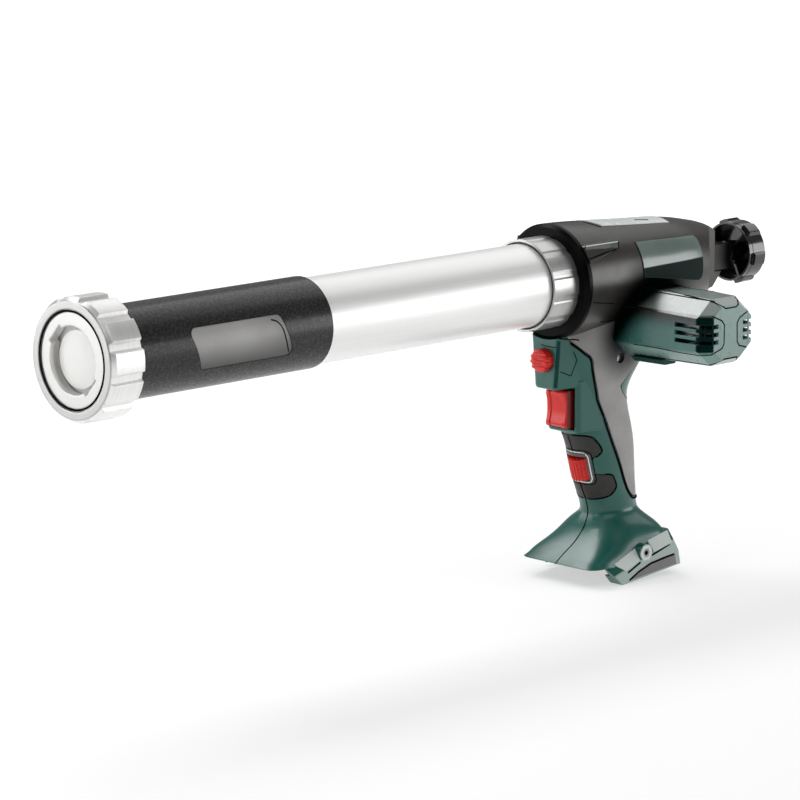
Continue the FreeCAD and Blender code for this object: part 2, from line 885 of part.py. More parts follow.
@functools.cache
def upper_body():
    flange_space = barrel_cylinder(collar_front_x, housing_front_x + overrun, housing_r)
    return fuse_all([housing_form(0, 0, 0), flange_space])


@functools.cache
def rear_grip_tool(gap):
    line = [Vec(x, -housing_r - overrun, z) for x, z in handle_points(grip_line_shares)]
    rear_x = handle_x + grip_rear_share * handle_reach
    top = Vec(rear_x, line[0].y, -grip_top_share * handle_drop)
    corner = Vec(line[0].x, line[0].y, top.z)
    foot = Vec(rear_x, line[0].y, -grip_foot_share * handle_drop)
    curve = Part.BSplineCurve()
    curve.interpolate(line)
    edges = [curve.toShape(), Part.makeLine(line[-1], foot), Part.makeLine(foot, top),
             Part.makeLine(top, corner), Part.makeLine(corner, line[0])]
    tool = Part.Face(Part.Wire(edges)).extrude(Vec(0, 2 * (housing_r + overrun), 0))
    tool.translate(Vec(gap, 0, gap))
    window = prism_along_y(handle_points(window_shares), -housing_r - overrun, housing_r + overrun)
    window.translate(Vec(-gap, 0, 0))
    return tool.cut(window)


@functools.cache
def pad_tool(gap):
    face = polygon_face([Vec(x, -handle_width, z) for x, z in handle_points(pad_shares)])
    face = face.makeOffset2D(-pad_corner - gap).makeOffset2D(pad_corner)
    return face.extrude(Vec(0, 2 * handle_width, 0))


def bezel_tool(rim):
    half = dial_window_half + rim
    low = dial_z - dial_window_height / 2 - rim
    high = dial_z + dial_window_height / 2 + rim
    return block(handle_x, dial_x, -half, half, low, high)


@functools.cache
def handle_skin():
    return handle_form(0, handle_shares).cut(handle_pieces(skin, handle_shares))


def motor_octagon(y, half_x, half_z, corner_x, corner_z):
    outline = [(half_x, half_z - corner_z), (half_x - corner_x, half_z), (corner_x - half_x, half_z),
               (-half_x, half_z - corner_z), (-half_x, corner_z - half_z), (corner_x - half_x, -half_z),
               (half_x - corner_x, -half_z), (half_x, corner_z - half_z)]
    points = [Vec(motor_x + x, y, motor_z + z) for x, z in outline]
    return Part.makePolygon(points + [points[0]])


@functools.cache
def motor_form(inset):
    root = motor_octagon(motor_root_y + inset, motor_half_x - inset, motor_half_z - inset,
                         motor_corner_x, motor_corner_z)
    shoulder_y = motor_end_y + motor_end_chamfer
    shoulder = motor_octagon(shoulder_y, motor_half_x - motor_taper - inset,
                             motor_half_z - motor_taper - inset, motor_corner_x, motor_corner_z)
    end = motor_octagon(motor_end_y + inset, motor_half_x - motor_taper - motor_end_inset_x - inset,
                        motor_half_z - motor_taper - motor_end_inset_z - inset,
                        motor_corner_x - motor_end_inset_x / 2, motor_corner_z - motor_end_inset_z / 2)
    return Part.makeLoft([root, shoulder, end], True, True)


def handle_hollow():
    posts = [axis_cylinder(x, z, -handle_width, handle_width, post_r)
             for x, z in handle_points(left_screw_shares + right_screw_shares)]
    pieces = handle_pieces(handle_wall, handle_shares[:cavity_last_row])
    return [piece.cut(posts + [button_stop()]) for piece in pieces] + [board_room()]


def board_room():
    half = block_half_width - board_margin
    return block(block_x + room_margin, block_x + block_length - room_margin, -half, half,
                 block_top_z, block_top_z + room_height)


def button_stop():
    x0 = button_x + button_length + button_lip + button_spring_length
    return block(x0, x0 + stop_width, -stop_half_width, stop_half_width,
                 button_z - stop_height / 2, button_z + stop_height / 2)


def trigger_slot():
    half = trigger_half_width + trigger_side_gap
    return block(handle_x - overrun, switch_front_x, -half, half,
                 trigger_top_z - trigger_height - trigger_end_gap, trigger_top_z + trigger_end_gap)


def button_hole():
    x0 = button_x
    inner = button_x + button_length
    head = Part.makeCylinder(button_r + body_gap, button_length, Vec(x0, 0, button_z), Vec(1, 0, 0))
    room = Part.makeCylinder(button_lip_r + body_gap, button_lip + button_spring_length,
                             Vec(inner - body_gap, 0, button_z), Vec(1, 0, 0))
    return head.fuse(room)


def tilted(shape):
    shape.rotate(Vec(dial_x, 0, dial_z), Vec(0, 1, 0), -dial_tilt)
    return shape


def upright(r, height, low):
    return Part.makeCylinder(r, height, Vec(dial_x, 0, dial_z + low), Vec(0, 0, 1))


@functools.cache
def dial_room():
    room = upright(dial_r + dial_ridge + dial_gap, dial_height + 2 * dial_gap, -dial_height / 2 - dial_gap)
    return tilted(room).fuse(bezel_tool(0))


def terminal_block():
    return block(block_x, block_x + block_length, -block_half_width, block_half_width,
                 block_top_z - block_height, block_top_z)


def case_screw_places():
    places = []
    for from_left, shares in ((True, left_screw_shares), (False, right_screw_shares)):
        for x, z in handle_points(shares):
            rows = [row for row in handle_shares if row[0] <= -z / handle_drop]
            places.append((x, z, -rows[-1][3] * handle_width, from_left))
    for along, z in housing_screws:
        share = along / housing_length
        behind = [r for a, r in zip(housing_length_shares, housing_radius_shares) if a >= share]
        radius = max(behind) * housing_r
        places.append((housing_front_x + along, z, -math.sqrt(radius ** 2 - z ** 2), False))
    return places


@functools.cache
def case_screw_holes():
    holes = []
    for x, z, y, from_left in case_screw_places():
        seat = y + screw_sink + screw_head_length
        head = axis_cylinder(x, z, y - overrun, seat, screw_head_r + body_gap)
        hole = head.fuse(axis_cylinder(x, z, seat, seat + screw_length, screw_shank_r))
        holes.append(hole if from_left else mirrored(hole))
    return fuse_all(holes)


def case_screws():
    screws = []
    for x, z, y, from_left in case_screw_places():
        head_y = y + screw_sink
        seat = head_y + screw_head_length
        head = axis_cylinder(x, z, head_y, seat, screw_head_r)
        shank = axis_cylinder(x, z, seat, seat + screw_length, screw_shank_r)
        screw = head.fuse(shank).removeSplitter()
        screws.append(screw if from_left else mirrored(screw))
    return Part.makeCompound(screws)


def foot_form():
    form = handle_form(0, handle_shares).fuse([cheek(), right_cheek()])
    return form.cut([insert_form(), mirrored(insert_form())])


def handle_shell():
    band = handle_skin()
    inlays = [band.common(tool) for tool in (rear_grip_tool(0), pad_tool(0), bezel_tool(bezel_rim))]
    shell = foot_form().cut(inlays).cut([upper_body(), gear_bore()] + handle_hollow())
    shell = shell.cut([trigger_slot(), button_hole(), dial_room(), terminal_block(), control_board(),
                       switch_form(), potentiometer_form()])
    return shell.cut([case_screw_holes(), rail_bumpers()])


def rear_grip():
    grip = handle_skin().common(rear_grip_tool(seam_gap)).cut(upper_body()).cut(motor_form(0))
    return grip.cut(gear_bore()).cut(case_screw_holes())


def front_pad():
    pad = handle_skin().common(pad_tool(seam_gap)).cut(bezel_tool(bezel_rim))
    return pad.cut([dial_room(), potentiometer_form()])


def dial_bezel():
    frame = handle_form(-bezel_proud, handle_shares).common(bezel_tool(bezel_rim))
    return frame.cut(handle_pieces(skin, handle_shares) + [dial_room(), potentiometer_form()])


# Motor cover
def vents():
    cuts = []
    for side in (-1, 1):
        inner = motor_x + side * (motor_half_x - vent_reach)
        outer = motor_x + side * (motor_half_x + overrun)
        for k in range(vent_count):
            z = motor_z + (k - (vent_count - 1) / 2) * vent_pitch
            cuts.append(block(min(inner, outer), max(inner, outer), motor_end_y - overrun,
                              motor_end_y + vent_length, z - vent_height / 2, z + vent_height / 2))
    return Part.makeCompound(cuts)


@functools.cache
def motor_cover():
    hollow = motor_form(motor_wall)
    wide = motor_half_x + overrun
    for y in (motor_can_rear + cover_rib, gear_case_start - 2 * cover_rib, gear_case_start + 2 * cover_rib):
        hollow = hollow.cut(block(motor_x - wide, motor_x + wide, y, y + cover_rib,
                                  motor_z - wide, motor_z + wide))
    inside = hollow.fuse([motor_cylinder(motor_can_rear, gear_case_start, motor_can_r), gear_bore()])
    cover = motor_form(0).cut(inside).cut(upper_body()).cut(handle_form(0, handle_shares))
    return cover.cut(vents())


def split_motor_cover(front):
    cover = motor_cover()
    split_x = motor_x - motor_split
    box = cover.BoundBox
    x0, x1 = (box.XMin - overrun, split_x) if front else (split_x, box.XMax + overrun)
    side = block(x0, x1, box.YMin - overrun, box.YMax + overrun, box.ZMin - overrun, box.ZMax + overrun)
    return largest_solid(cover.common(side))


def largest_solid(shape):
    return max(shape.Solids, key=lambda solid: solid.Volume)


# Motor and gears
def gear_case():
    ring_length = gear_case_end - gear_case_start
    body = motor_cylinder(gear_case_start, gear_case_end, gear_case_r)
    addendum = root_share * stage_module
    dedendum = stage_tip_share * stage_module
    wall_y = gear_case_end - bearing_width - clutch_gap - carrier_hub_length
    teeth = gear(ring_teeth, stage_module, addendum, dedendum, -stage_backlash, math.pi / ring_teeth,
                 motor_x, motor_z, gear_case_start - overrun, wall_y)
    hub = motor_cylinder(wall_y - overrun, gear_case_start + ring_length, carrier_hub_r + running_gap)
    seat = motor_cylinder(gear_case_end - bearing_width, gear_case_end + overrun, bearing_r)
    return body.cut(teeth).cut(hub).cut(seat)


def bearing_plate():
    y0 = pinion_width / 2 + pinion_clear
    plate = motor_cylinder(y0, y0 + bearing_plate_width, gear_case_r)
    seat = motor_cylinder(y0 - overrun, y0 + bearing_width, bearing_r)
    return plate.cut(seat)


def pinion_bearings():
    y0 = pinion_width / 2 + pinion_clear
    bore = pinion_shaft_r + running_gap
    near = motor_ring(gear_case_end - bearing_width, gear_case_end, bore, bearing_r)
    far = motor_ring(y0, y0 + bearing_width, bore, bearing_r)
    return Part.makeCompound([near, far])


def drive_pinion():
    wheel = gear(pinion_teeth, rack_module, rack_module, root_share * rack_module, rack_backlash, 0,
                 motor_x, motor_z, -pinion_width / 2, pinion_width / 2)
    shaft = motor_cylinder(gear_case_end - bearing_width, pinion_width / 2 + pinion_clear + bearing_width,
                           pinion_shaft_r)
    return wheel.fuse(shaft).removeSplitter()


def motor_can():
    can = motor_cylinder(motor_can_rear, gear_case_start, motor_can_r)
    core_r = motor_can_r - motor_can_wall
    can = can.cut(motor_cylinder(motor_can_rear + motor_bearing_width,
                                 gear_case_start - motor_bearing_width, core_r))
    return can.cut(motor_cylinder(motor_can_rear - overrun, gear_case_start + overrun, motor_bearing_r))


def motor_bearings():
    bore = motor_shaft_r + running_gap
    rear = motor_ring(motor_can_rear, motor_can_rear + motor_bearing_width, bore, motor_bearing_r)
    front = motor_ring(gear_case_start - motor_bearing_width, gear_case_start, bore, motor_bearing_r)
    return Part.makeCompound([rear, front])


def rotor():
    core_r = motor_can_r - motor_can_wall - rotor_air_gap
    y0 = motor_can_rear + motor_bearing_width + rotor_end_gap
    y1 = gear_case_start - motor_bearing_width - rotor_end_gap
    core = motor_cylinder(y0, y1, core_r)
    for k in range(rotor_slots):
        slot = block(motor_x - rotor_slot_width / 2, motor_x + rotor_slot_width / 2, y0 - overrun,
                     y1 + overrun, motor_z + core_r - rotor_slot_depth, motor_z + core_r + overrun)
        slot.rotate(Vec(motor_x, 0, motor_z), Vec(0, 1, 0), 360.0 * k / rotor_slots)
        core = core.cut(slot)
    shaft = motor_cylinder(motor_can_rear - fan_gap - fan_width, stage_start, motor_shaft_r)
    sun = stage_gear(sun_teeth, 0, motor_x, motor_z, stage_start - body_gap, stage_start + stage_width)
    return fuse_all([core, shaft, sun])


def cooling_fan():
    y1 = motor_can_rear - fan_gap
    disc = motor_ring(y1 - fan_disc, y1, motor_shaft_r, fan_r)
    hub = motor_ring(y1 - fan_width, y1, motor_shaft_r, fan_hub_r)
    blades = []
    for k in range(fan_blades):
        blade = block(motor_x - fan_disc / 2, motor_x + fan_disc / 2, y1 - fan_width, y1 - fan_disc / 2,
                      motor_z + fan_hub_r - fan_disc, motor_z + fan_r - fan_disc)
        blade.rotate(Vec(motor_x, 0, motor_z), Vec(0, 1, 0), 360.0 * k / fan_blades)
        blades.append(blade)
    return fuse_all([disc, hub] + blades)


def planet_angle(k):
    return 2 * math.pi * k / planet_count


def planet(stage, k):
    angle = planet_angle(k)
    x = motor_x + planet_orbit * math.sin(angle)
    z = motor_z + planet_orbit * math.cos(angle)
    y0 = stage_start + stage * stage_pitch
    phase = angle + math.pi + math.pi / planet_teeth
    wheel = stage_gear(planet_teeth, phase, x, z, y0, y0 + stage_width)
    bore = carrier_pin_r + running_gap
    return wheel.cut(axis_cylinder(x, z, y0 - overrun, y0 + stage_width + overrun, bore))


def carrier(stage):
    y0 = stage_start + stage * stage_pitch + stage_width + stage_gap
    parts = [motor_cylinder(y0, y0 + carrier_plate, planet_orbit + 2 * carrier_pin_r)]
    for k in range(planet_count):
        angle = planet_angle(k)
        x = motor_x + planet_orbit * math.sin(angle)
        z = motor_z + planet_orbit * math.cos(angle)
        parts.append(axis_cylinder(x, z, y0 - stage_width - stage_gap, y0 + carrier_plate, carrier_pin_r))
    return parts


def first_carrier():
    y0 = stage_start + stage_pitch
    parts = carrier(0)
    sun_start = y0 - stage_gap - carrier_plate
    parts.append(stage_gear(sun_teeth, 0, motor_x, motor_z, sun_start, y0 + stage_width))
    return fuse_all(parts)


def output_carrier():
    y0 = stage_start + stage_pitch + stage_width + stage_gap + carrier_plate
    hub_end = gear_case_end - bearing_width - clutch_gap
    return fuse_all(carrier(1) + [motor_cylinder(y0, hub_end, carrier_hub_r)])


# Feed rod, piston and knob
def feed_rod():
    pitch = math.pi * rack_module
    lean = math.tan(math.radians(pressure_angle))
    root_z = rack_line_z + root_share * rack_module
    half_line = pitch / 4 - rack_backlash / 2
    half_tip = half_line - rack_module * lean
    half_root = half_line + root_share * rack_module * lean
    first = -math.ceil((rack_travel + rack_margin) / pitch)
    last = math.ceil(rack_margin / pitch)
    points = [(rod_front_x, rod_top), (rod_front_x, rod_bottom)]
    for k in range(first, last):
        gap_x = motor_x + k * pitch
        half_gap_tip = pitch / 2 - half_tip
        half_gap_root = pitch / 2 - half_root
        points += [(gap_x - half_gap_tip, rod_bottom), (gap_x - half_gap_root, root_z),
                   (gap_x + half_gap_root, root_z), (gap_x + half_gap_tip, rod_bottom)]
    points += [(rod_rear_x, rod_bottom), (rod_rear_x, rod_top)]
    bar = prism_along_y(points, -rod_width / 2, rod_width / 2)
    front = barrel_cylinder(rod_front_x - rod_end_length, rod_front_x, rod_end_r)
    rear = barrel_cylinder(rod_rear_x, rod_rear_x + rod_end_length, rod_end_r)
    return fuse_all([bar, front, rear])


def piston():
    nose_x = piston_nose_front
    rear_x = piston_front_x + piston_length
    inner_r = piston_r - piston_wall
    floor_x = piston_front_x + piston_wall
    edge = Part.Arc(Vec(nose_x, 0, 0), Vec(nose_x + piston_dome / 4, 0, piston_nose_r / 2),
                    Vec(nose_x + piston_dome, 0, piston_nose_r)).toShape()
    corners = [Vec(nose_x + piston_dome, 0, piston_nose_r), Vec(piston_front_x, 0, piston_nose_r),
               Vec(piston_front_x, 0, piston_r), Vec(rear_x, 0, piston_r), Vec(rear_x, 0, inner_r),
               Vec(floor_x, 0, inner_r), Vec(floor_x, 0, piston_hub_r), Vec(rear_x, 0, piston_hub_r),
               Vec(rear_x, 0, 0), Vec(nose_x, 0, 0)]
    edges = [edge] + [Part.makeLine(a, b) for a, b in zip(corners, corners[1:])]
    body = Part.Face(Part.Wire(edges)).revolve(Vec(0, 0, 0), Vec(1, 0, 0), 360)
    return body.cut(barrel_cylinder(rod_front_x - rod_end_length, rear_x + overrun, rod_end_r))


def rod_slot(x0, x1):
    return block(x0, x1, -rod_width / 2 - body_gap, rod_width / 2 + body_gap,
                 rod_bottom - body_gap, rod_top + body_gap)


def rod_bushes():
    x0 = housing_front_x + spigot_flange_length - bush_length
    front = barrel_cylinder(x0, x0 + bush_length, tube_inner_r)
    rear_x = housing_rear_x - bush_length - housing_wall
    rear = rear_bush_form(rear_x, housing_rear_x)
    slot = rod_slot(x0 - overrun, housing_rear_x + 2 * overrun)
    return Part.makeCompound([front.cut(slot), rear.cut(slot)])


def pull_knob():
    rear_x = knob_front_x + knob_length
    rim = barrel_cylinder(knob_front_x, knob_front_x + knob_rim_length, knob_rim_r)
    lobes = lobed_prism(knob_front_x + knob_rim_length, rear_x, knob_valley_r, knob_lobe_r, knob_lobes,
                        knob_lobe_share, knob_flank_share, knob_phase)
    crown = turned([(knob_front_x, 0), (knob_front_x, knob_lobe_r), (rear_x - knob_chamfer, knob_lobe_r),
                    (rear_x, knob_lobe_r - knob_chamfer), (rear_x, 0)])
    floor_x = rear_x - knob_floor
    hollow = barrel_cylinder(knob_front_x - overrun, floor_x, knob_hollow_r)
    shell = rim.fuse(lobes.common(crown)).cut(hollow)
    hub = barrel_cylinder(rod_rear_x, floor_x, knob_hub_r)
    ribs = []
    for k in range(knob_ribs):
        rib = block(knob_front_x + knob_rib_setback, floor_x, -knob_rib / 2, knob_rib / 2, 0, knob_hollow_r)
        rib.rotate(Vec(0, 0, 0), Vec(1, 0, 0), knob_rib_phase + 360.0 * k / knob_ribs)
        ribs.append(rib)
    body = shell.fuse([hub] + ribs)
    body = body.cut(barrel_cylinder(rod_rear_x - overrun, rod_rear_x + rod_end_length, rod_end_r))
    return body.cut(knob_screw_form(body_gap)).removeSplitter()


def knob_screw_form(gap):
    rear_x = knob_front_x + knob_length
    head_x = rear_x - screw_head_length
    head = barrel_cylinder(head_x, rear_x, screw_head_r + gap)
    shank = barrel_cylinder(rod_rear_x + rod_end_length, head_x, screw_shank_r)
    return head.fuse(shank).removeSplitter()


# Trigger, button, dial and what they work on
def trigger():
    rear_x = trigger_front_x + trigger_depth
    low = trigger_top_z - trigger_height
    body = block(trigger_front_x, rear_x, -trigger_half_width, trigger_half_width, low, trigger_top_z)
    edges = [e for e in body.Edges if abs(e.CenterOfMass.x - trigger_front_x) < running_gap]
    body = body.makeFillet(trigger_corner, edges)
    scoop_x = trigger_front_x + trigger_scoop_depth - trigger_scoop_r
    scoop = axis_cylinder(scoop_x, trigger_mid_z, -handle_width, handle_width, trigger_scoop_r)
    stem_end = Vec(rear_x, 0, trigger_mid_z)
    stem = Part.makeCylinder(trigger_stem_r, trigger_stem_length, stem_end, Vec(1, 0, 0))
    return body.cut(scoop).fuse(stem).removeSplitter()


def switch_form():
    return block(switch_front_x, switch_front_x + switch_length, -switch_half_width, switch_half_width,
                 trigger_mid_z - switch_height / 2, trigger_mid_z + switch_height / 2)


def switch_module():
    depth = trigger_stem_length - switch_lead + trigger_travel + body_gap
    hole = Part.makeCylinder(trigger_stem_r + body_gap, depth + overrun,
                             Vec(switch_front_x - overrun, 0, trigger_mid_z), Vec(1, 0, 0))
    return switch_form().cut(hole)


def coil_spring(x0, x1, z, r):
    wire_low = x0 + spring_wire_r + spring_end_gap
    wire_high = x1 - spring_wire_r - spring_end_gap
    steps = 4 * spring_turns
    edges = []

    def place(turn):
        angle = 2 * math.pi * turn * spring_turns
        return Vec(wire_low + (wire_high - wire_low) * turn, r * math.sin(angle), z + r * math.cos(angle))

    for k in range(steps):
        edges.append(Part.Arc(place(k / steps), place((k + 0.5) / steps), place((k + 1) / steps)).toShape())
    path = Part.Wire(edges)
    start = edges[0]
    ring = Part.makeCircle(spring_wire_r, place(0), start.tangentAt(start.FirstParameter))
    gap = (wire_high - wire_low) / spring_turns - 2 * spring_wire_r
    print("spring gap between turns", round(gap, 3))
    return path.makePipeShell([Part.Wire(ring)], True, False)


def trigger_spring():
    x0 = trigger_front_x + trigger_depth
    return coil_spring(x0, x0 + switch_lead, trigger_mid_z, trigger_spring_r)


def release_button():
    inner = button_x + button_length
    head = Part.makeCylinder(button_r, button_length, Vec(button_x, 0, button_z), Vec(1, 0, 0))
    dome_r = (button_r ** 2 + button_dome ** 2) / (2 * button_dome)
    head = head.common(Part.makeSphere(dome_r, Vec(button_x + dome_r, 0, button_z)).fuse(
        block(button_x + button_dome, inner + overrun, -handle_width, handle_width, -handle_drop, 0)))
    pitch = 2 * button_r / (button_ridges + 1)
    for k in range(button_ridges):
        z = button_z + (k - (button_ridges - 1) / 2) * pitch
        head = head.cut(axis_cylinder(button_x, z, -button_r, button_r, button_ridge))
    lip = Part.makeCylinder(button_lip_r, button_lip, Vec(inner, 0, button_z), Vec(1, 0, 0))
    pin = Part.makeCylinder(button_pin_r, button_pin_length - body_gap, Vec(inner + button_lip, 0, button_z),
                            Vec(1, 0, 0))
    return fuse_all([head, lip, pin])


def button_spring():
    x0 = button_x + button_length + button_lip
    return coil_spring(x0, x0 + button_spring_length, button_z, button_spring_r)


def speed_dial():
    drum = upright(dial_r, dial_height, -dial_height / 2)
    ridges = []
    for k in range(dial_ridges):
        angle = 2 * math.pi * k / dial_ridges
        place = Vec(dial_x + dial_r * math.cos(angle), dial_r * math.sin(angle), dial_z - dial_height / 2)
        ridges.append(Part.makeCylinder(dial_ridge, dial_height, place, Vec(0, 0, 1)))
    pin_hole = upright(pot_pin_r + running_gap, dial_height + 2 * overrun, -dial_height / 2 - overrun)
    return tilted(fuse_all([drum] + ridges).cut(pin_hole))


def potentiometer_form():
    low = -dial_height / 2 - dial_gap
    body = upright(pot_r, pot_height, low - pot_height)
    pin = upright(pot_pin_r, dial_height + dial_gap, low)
    return tilted(fuse_all([body, pin]))


# Battery contacts
def blade_places():
    return [(k - (blade_count - 1) / 2) * blade_pitch for k in range(blade_count)]


def blade_forms():
    x0 = block_x + (block_length - blade_length) / 2
    low = block_top_z - block_height - blade_height / 2
    return [block(x0, x0 + blade_length, y - blade_thick / 2, y + blade_thick / 2, low, low + blade_height)
            for y in blade_places()]


def control_board():
    return block(block_x + board_margin, block_x + block_length - board_margin,
                 -block_half_width + board_margin, block_half_width - board_margin,
                 block_top_z, block_top_z + board_thick)


def build_parts():
    housing = housing_shell()
    handle = handle_shell()
    grip = rear_grip()
    pad = front_pad()
    parts = {
        "barrel_tube": barrel_tube(),
        "front_thread_ring": front_thread_ring(),
        "grip_sleeve": grip_sleeve(),
        "sleeve_plate": sleeve_plate(),
        "cap_nut": cap_nut(),
        "nozzle_plate": nozzle_plate(),
        "cap_gasket": cap_gasket(),
        "collar_nut": collar_nut(),
        "collar_seal": collar_seal(),
        "barrel_spigot": barrel_spigot(),
        "front_flange": front_flange(),
        "housing_left": largest_solid(left_half(housing)),
        "housing_right": largest_solid(right_half(housing)),
        "top_plate": top_plate(),
        "side_plate_left": side_plate(),
        "side_plate_right": mirrored(side_plate()),
        "rod_bushes": rod_bushes(),
        "handle_left": largest_solid(left_half(handle)),
        "handle_right": largest_solid(right_half(handle)),
        "rear_grip_left": largest_solid(left_half(grip)),
        "rear_grip_right": largest_solid(right_half(grip)),
        "front_pad_left": left_half(pad),
        "front_pad_right": right_half(pad),
        "dial_bezel": dial_bezel(),
        "motor_cover_front": split_motor_cover(True),
        "motor_cover_rear": split_motor_cover(False),
        "gear_case": gear_case(),
        "bearing_plate": bearing_plate(),
        "pinion_bearings": pinion_bearings(),
        "drive_pinion": drive_pinion(),
        "motor_can": motor_can(),
        "motor_bearings": motor_bearings(),
        "rotor": rotor(),
        "cooling_fan": cooling_fan(),
        "first_carrier": first_carrier(),
        "output_carrier": output_carrier(),
        "feed_rod": feed_rod(),
        "piston": piston(),
        "pull_knob": pull_knob(),
        "knob_screw": knob_screw_form(0),
        "trigger": trigger(),
        "trigger_spring": trigger_spring(),
        "switch_module": switch_module(),
        "release_button": release_button(),
        "button_spring": button_spring(),
        "speed_dial": speed_dial(),
        "dial_potentiometer": potentiometer_form(),
        "terminal_block": terminal_block().cut(Part.makeCompound(blade_forms())),
        "terminal_blades": Part.makeCompound(blade_forms()),
        "control_board": control_board(),
        "case_screws": case_screws(),
        "hook_inserts": hook_inserts(),
        "rail_bumpers": rail_bumpers(),
    }
    for k, letter in enumerate("abc"):
        parts["first_planet_" + letter] = planet(0, k)
        parts["second_planet_" + letter] = planet(1, k)
    return parts


def main():
    os.makedirs("parts", exist_ok=True)
    for name, shape in build_parts().items():
        print(name, "solids", len(shape.Solids), "volume", round(shape.Volume, 1), "valid", shape.isValid())
        shape.exportStep(os.path.join("parts", name + ".step"))


main()
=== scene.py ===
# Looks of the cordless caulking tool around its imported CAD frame
import json
import math

import bpy
from mathutils import Matrix, Vector
from mathutils.bvhtree import BVHTree


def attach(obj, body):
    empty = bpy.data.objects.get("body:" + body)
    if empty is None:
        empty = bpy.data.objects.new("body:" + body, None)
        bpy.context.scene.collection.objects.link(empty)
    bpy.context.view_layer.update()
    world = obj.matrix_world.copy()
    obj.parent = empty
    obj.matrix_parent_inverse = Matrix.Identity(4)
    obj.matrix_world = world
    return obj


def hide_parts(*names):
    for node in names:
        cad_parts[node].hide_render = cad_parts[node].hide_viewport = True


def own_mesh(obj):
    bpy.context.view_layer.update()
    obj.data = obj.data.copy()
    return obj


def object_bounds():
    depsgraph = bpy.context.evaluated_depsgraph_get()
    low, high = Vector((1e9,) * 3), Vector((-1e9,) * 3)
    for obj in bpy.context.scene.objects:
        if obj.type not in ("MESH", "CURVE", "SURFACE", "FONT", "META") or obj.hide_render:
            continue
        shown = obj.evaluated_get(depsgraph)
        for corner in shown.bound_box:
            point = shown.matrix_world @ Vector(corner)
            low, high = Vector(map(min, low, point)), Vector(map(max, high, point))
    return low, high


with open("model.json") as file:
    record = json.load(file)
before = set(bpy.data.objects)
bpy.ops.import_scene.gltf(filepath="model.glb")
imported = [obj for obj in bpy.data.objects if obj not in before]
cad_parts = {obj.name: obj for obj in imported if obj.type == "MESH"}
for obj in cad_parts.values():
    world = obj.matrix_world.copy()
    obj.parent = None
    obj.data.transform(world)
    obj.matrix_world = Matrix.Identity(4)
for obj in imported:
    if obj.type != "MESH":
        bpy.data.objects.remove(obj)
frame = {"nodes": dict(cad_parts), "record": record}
cad_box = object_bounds()
nodes = frame["nodes"]

# Camera of the photograph, metres and degrees
photo_side = 800
view_target = Vector((0.267088, 0.0, -0.060))
view_azimuth = -43.893
view_elevation = 11.046
view_roll = -0.171
view_distance = 2.6629
view_lens = 191.35
view_sensor = 36.0
view_shift = (-0.0035, 0.0001)
view_far = 100.0

# Studio
floor_gap = 0.0004
floor_size = 14.0
floor_glow_near = 0.52
floor_glow_far = 1.00
floor_glow_start = 0.6
floor_glow_end = 2.6
floor_tones = ((0.48, 0.48, 0.48), (0.52, 0.52, 0.52))
floor_noise = (3.0, 2.0)
floor_rough = 0.9
white = (1.0, 1.0, 1.0, 1.0)
sky_bright = 0.24
sky_dark = 0.03
sky_fade = (-0.1, 0.8)
sky_dark_side = (-0.69, -0.72, 0.0)
light_centre = Vector((0.34, 0.0, -0.05))
# Panels: direction from the tool, distance, width, height, brightness
panels = {
    "key_left": ((-0.96, 0.06, 0.30), 1.9, 0.7, 0.7, 3.4),
    "back_left": ((-0.62, 0.76, 0.16), 1.9, 1.6, 0.8, 3.2),
    "top_back": ((-0.05, 0.62, 0.78), 1.8, 1.7, 0.5, 7.0),
    "top_right": ((0.68, 0.19, 0.71), 1.8, 1.5, 0.9, 1.3),
    "right_front": ((0.76, -0.64, 0.12), 1.9, 1.1, 0.7, 4.5),
    "fill": ((-0.30, -0.50, 0.81), 1.9, 1.8, 1.2, 1.3),
}

# Lines and small pieces, metres
line_half = 0.00062
line_rise = 0.00014
line_sunk = 0.00025
line_step = 0.0012
bold_half = 0.00100
bold_rise = 0.00030
grip_half = 0.00078
grip_rise = 0.00070
fine_half = 0.00042
bead_flat_share = 0.6
cast_from = 0.2
handle_x = 0.390
handle_reach = 0.100
handle_drop = 0.200
motor_middle_x = 0.462
sides = ((-1, "left"), (1, "right"))

# Steps between the given points of a path
photo_steps = 10
plane_steps = 24
share_steps = 16
groove_steps = 16
dial_steps = 6
rail_steps = 24
rib_steps = 12
belly_steps = 16
ring_steps = 96

# Joint between the green shell and the rear grip, as shares of the handle's reach and drop
grip_line_shares = (
    (0.144, 0.198), (0.234, 0.236), (0.288, 0.258), (0.314, 0.300), (0.351, 0.363), (0.372, 0.404),
    (0.432, 0.469), (0.492, 0.539), (0.572, 0.629), (0.633, 0.704), (0.676, 0.736), (0.723, 0.751),
    (0.800, 0.7515),
)
window_shares = (
    (0.760, 0.305), (0.680, 0.328), (0.600, 0.358), (0.590, 0.373), (0.620, 0.393), (0.660, 0.408),
    (0.700, 0.418), (0.760, 0.418),
)
pad_shares = (
    (0.225, 0.513), (0.340, 0.520), (0.390, 0.540), (0.430, 0.570), (0.410, 0.588), (0.380, 0.598),
    (0.370, 0.615), (0.380, 0.650), (0.500, 0.655), (0.535, 0.675), (0.550, 0.700), (0.510, 0.728),
    (0.430, 0.744), (0.385, 0.748),
)
front_seam_z = ((-0.1045, -0.1165), (-0.1360, -0.1880))
rear_seam_z = (-0.074, -0.184)
housing_seam_x = ((0.4010, 0.4262), (0.4990, 0.5440))

# Outlines on the motor cover's end and the side plates, metres
tab_points = ((-0.0144, -0.0064), (-0.0050, -0.0128), (0.0050, -0.0128), (0.0144, -0.0064))
low_tab_points = ((-0.0150, -0.0515), (-0.0060, -0.0455), (0.0060, -0.0455), (0.0150, -0.0515))
plate_front_points = ((0.4507, 0.0225), (0.4507, -0.0045))

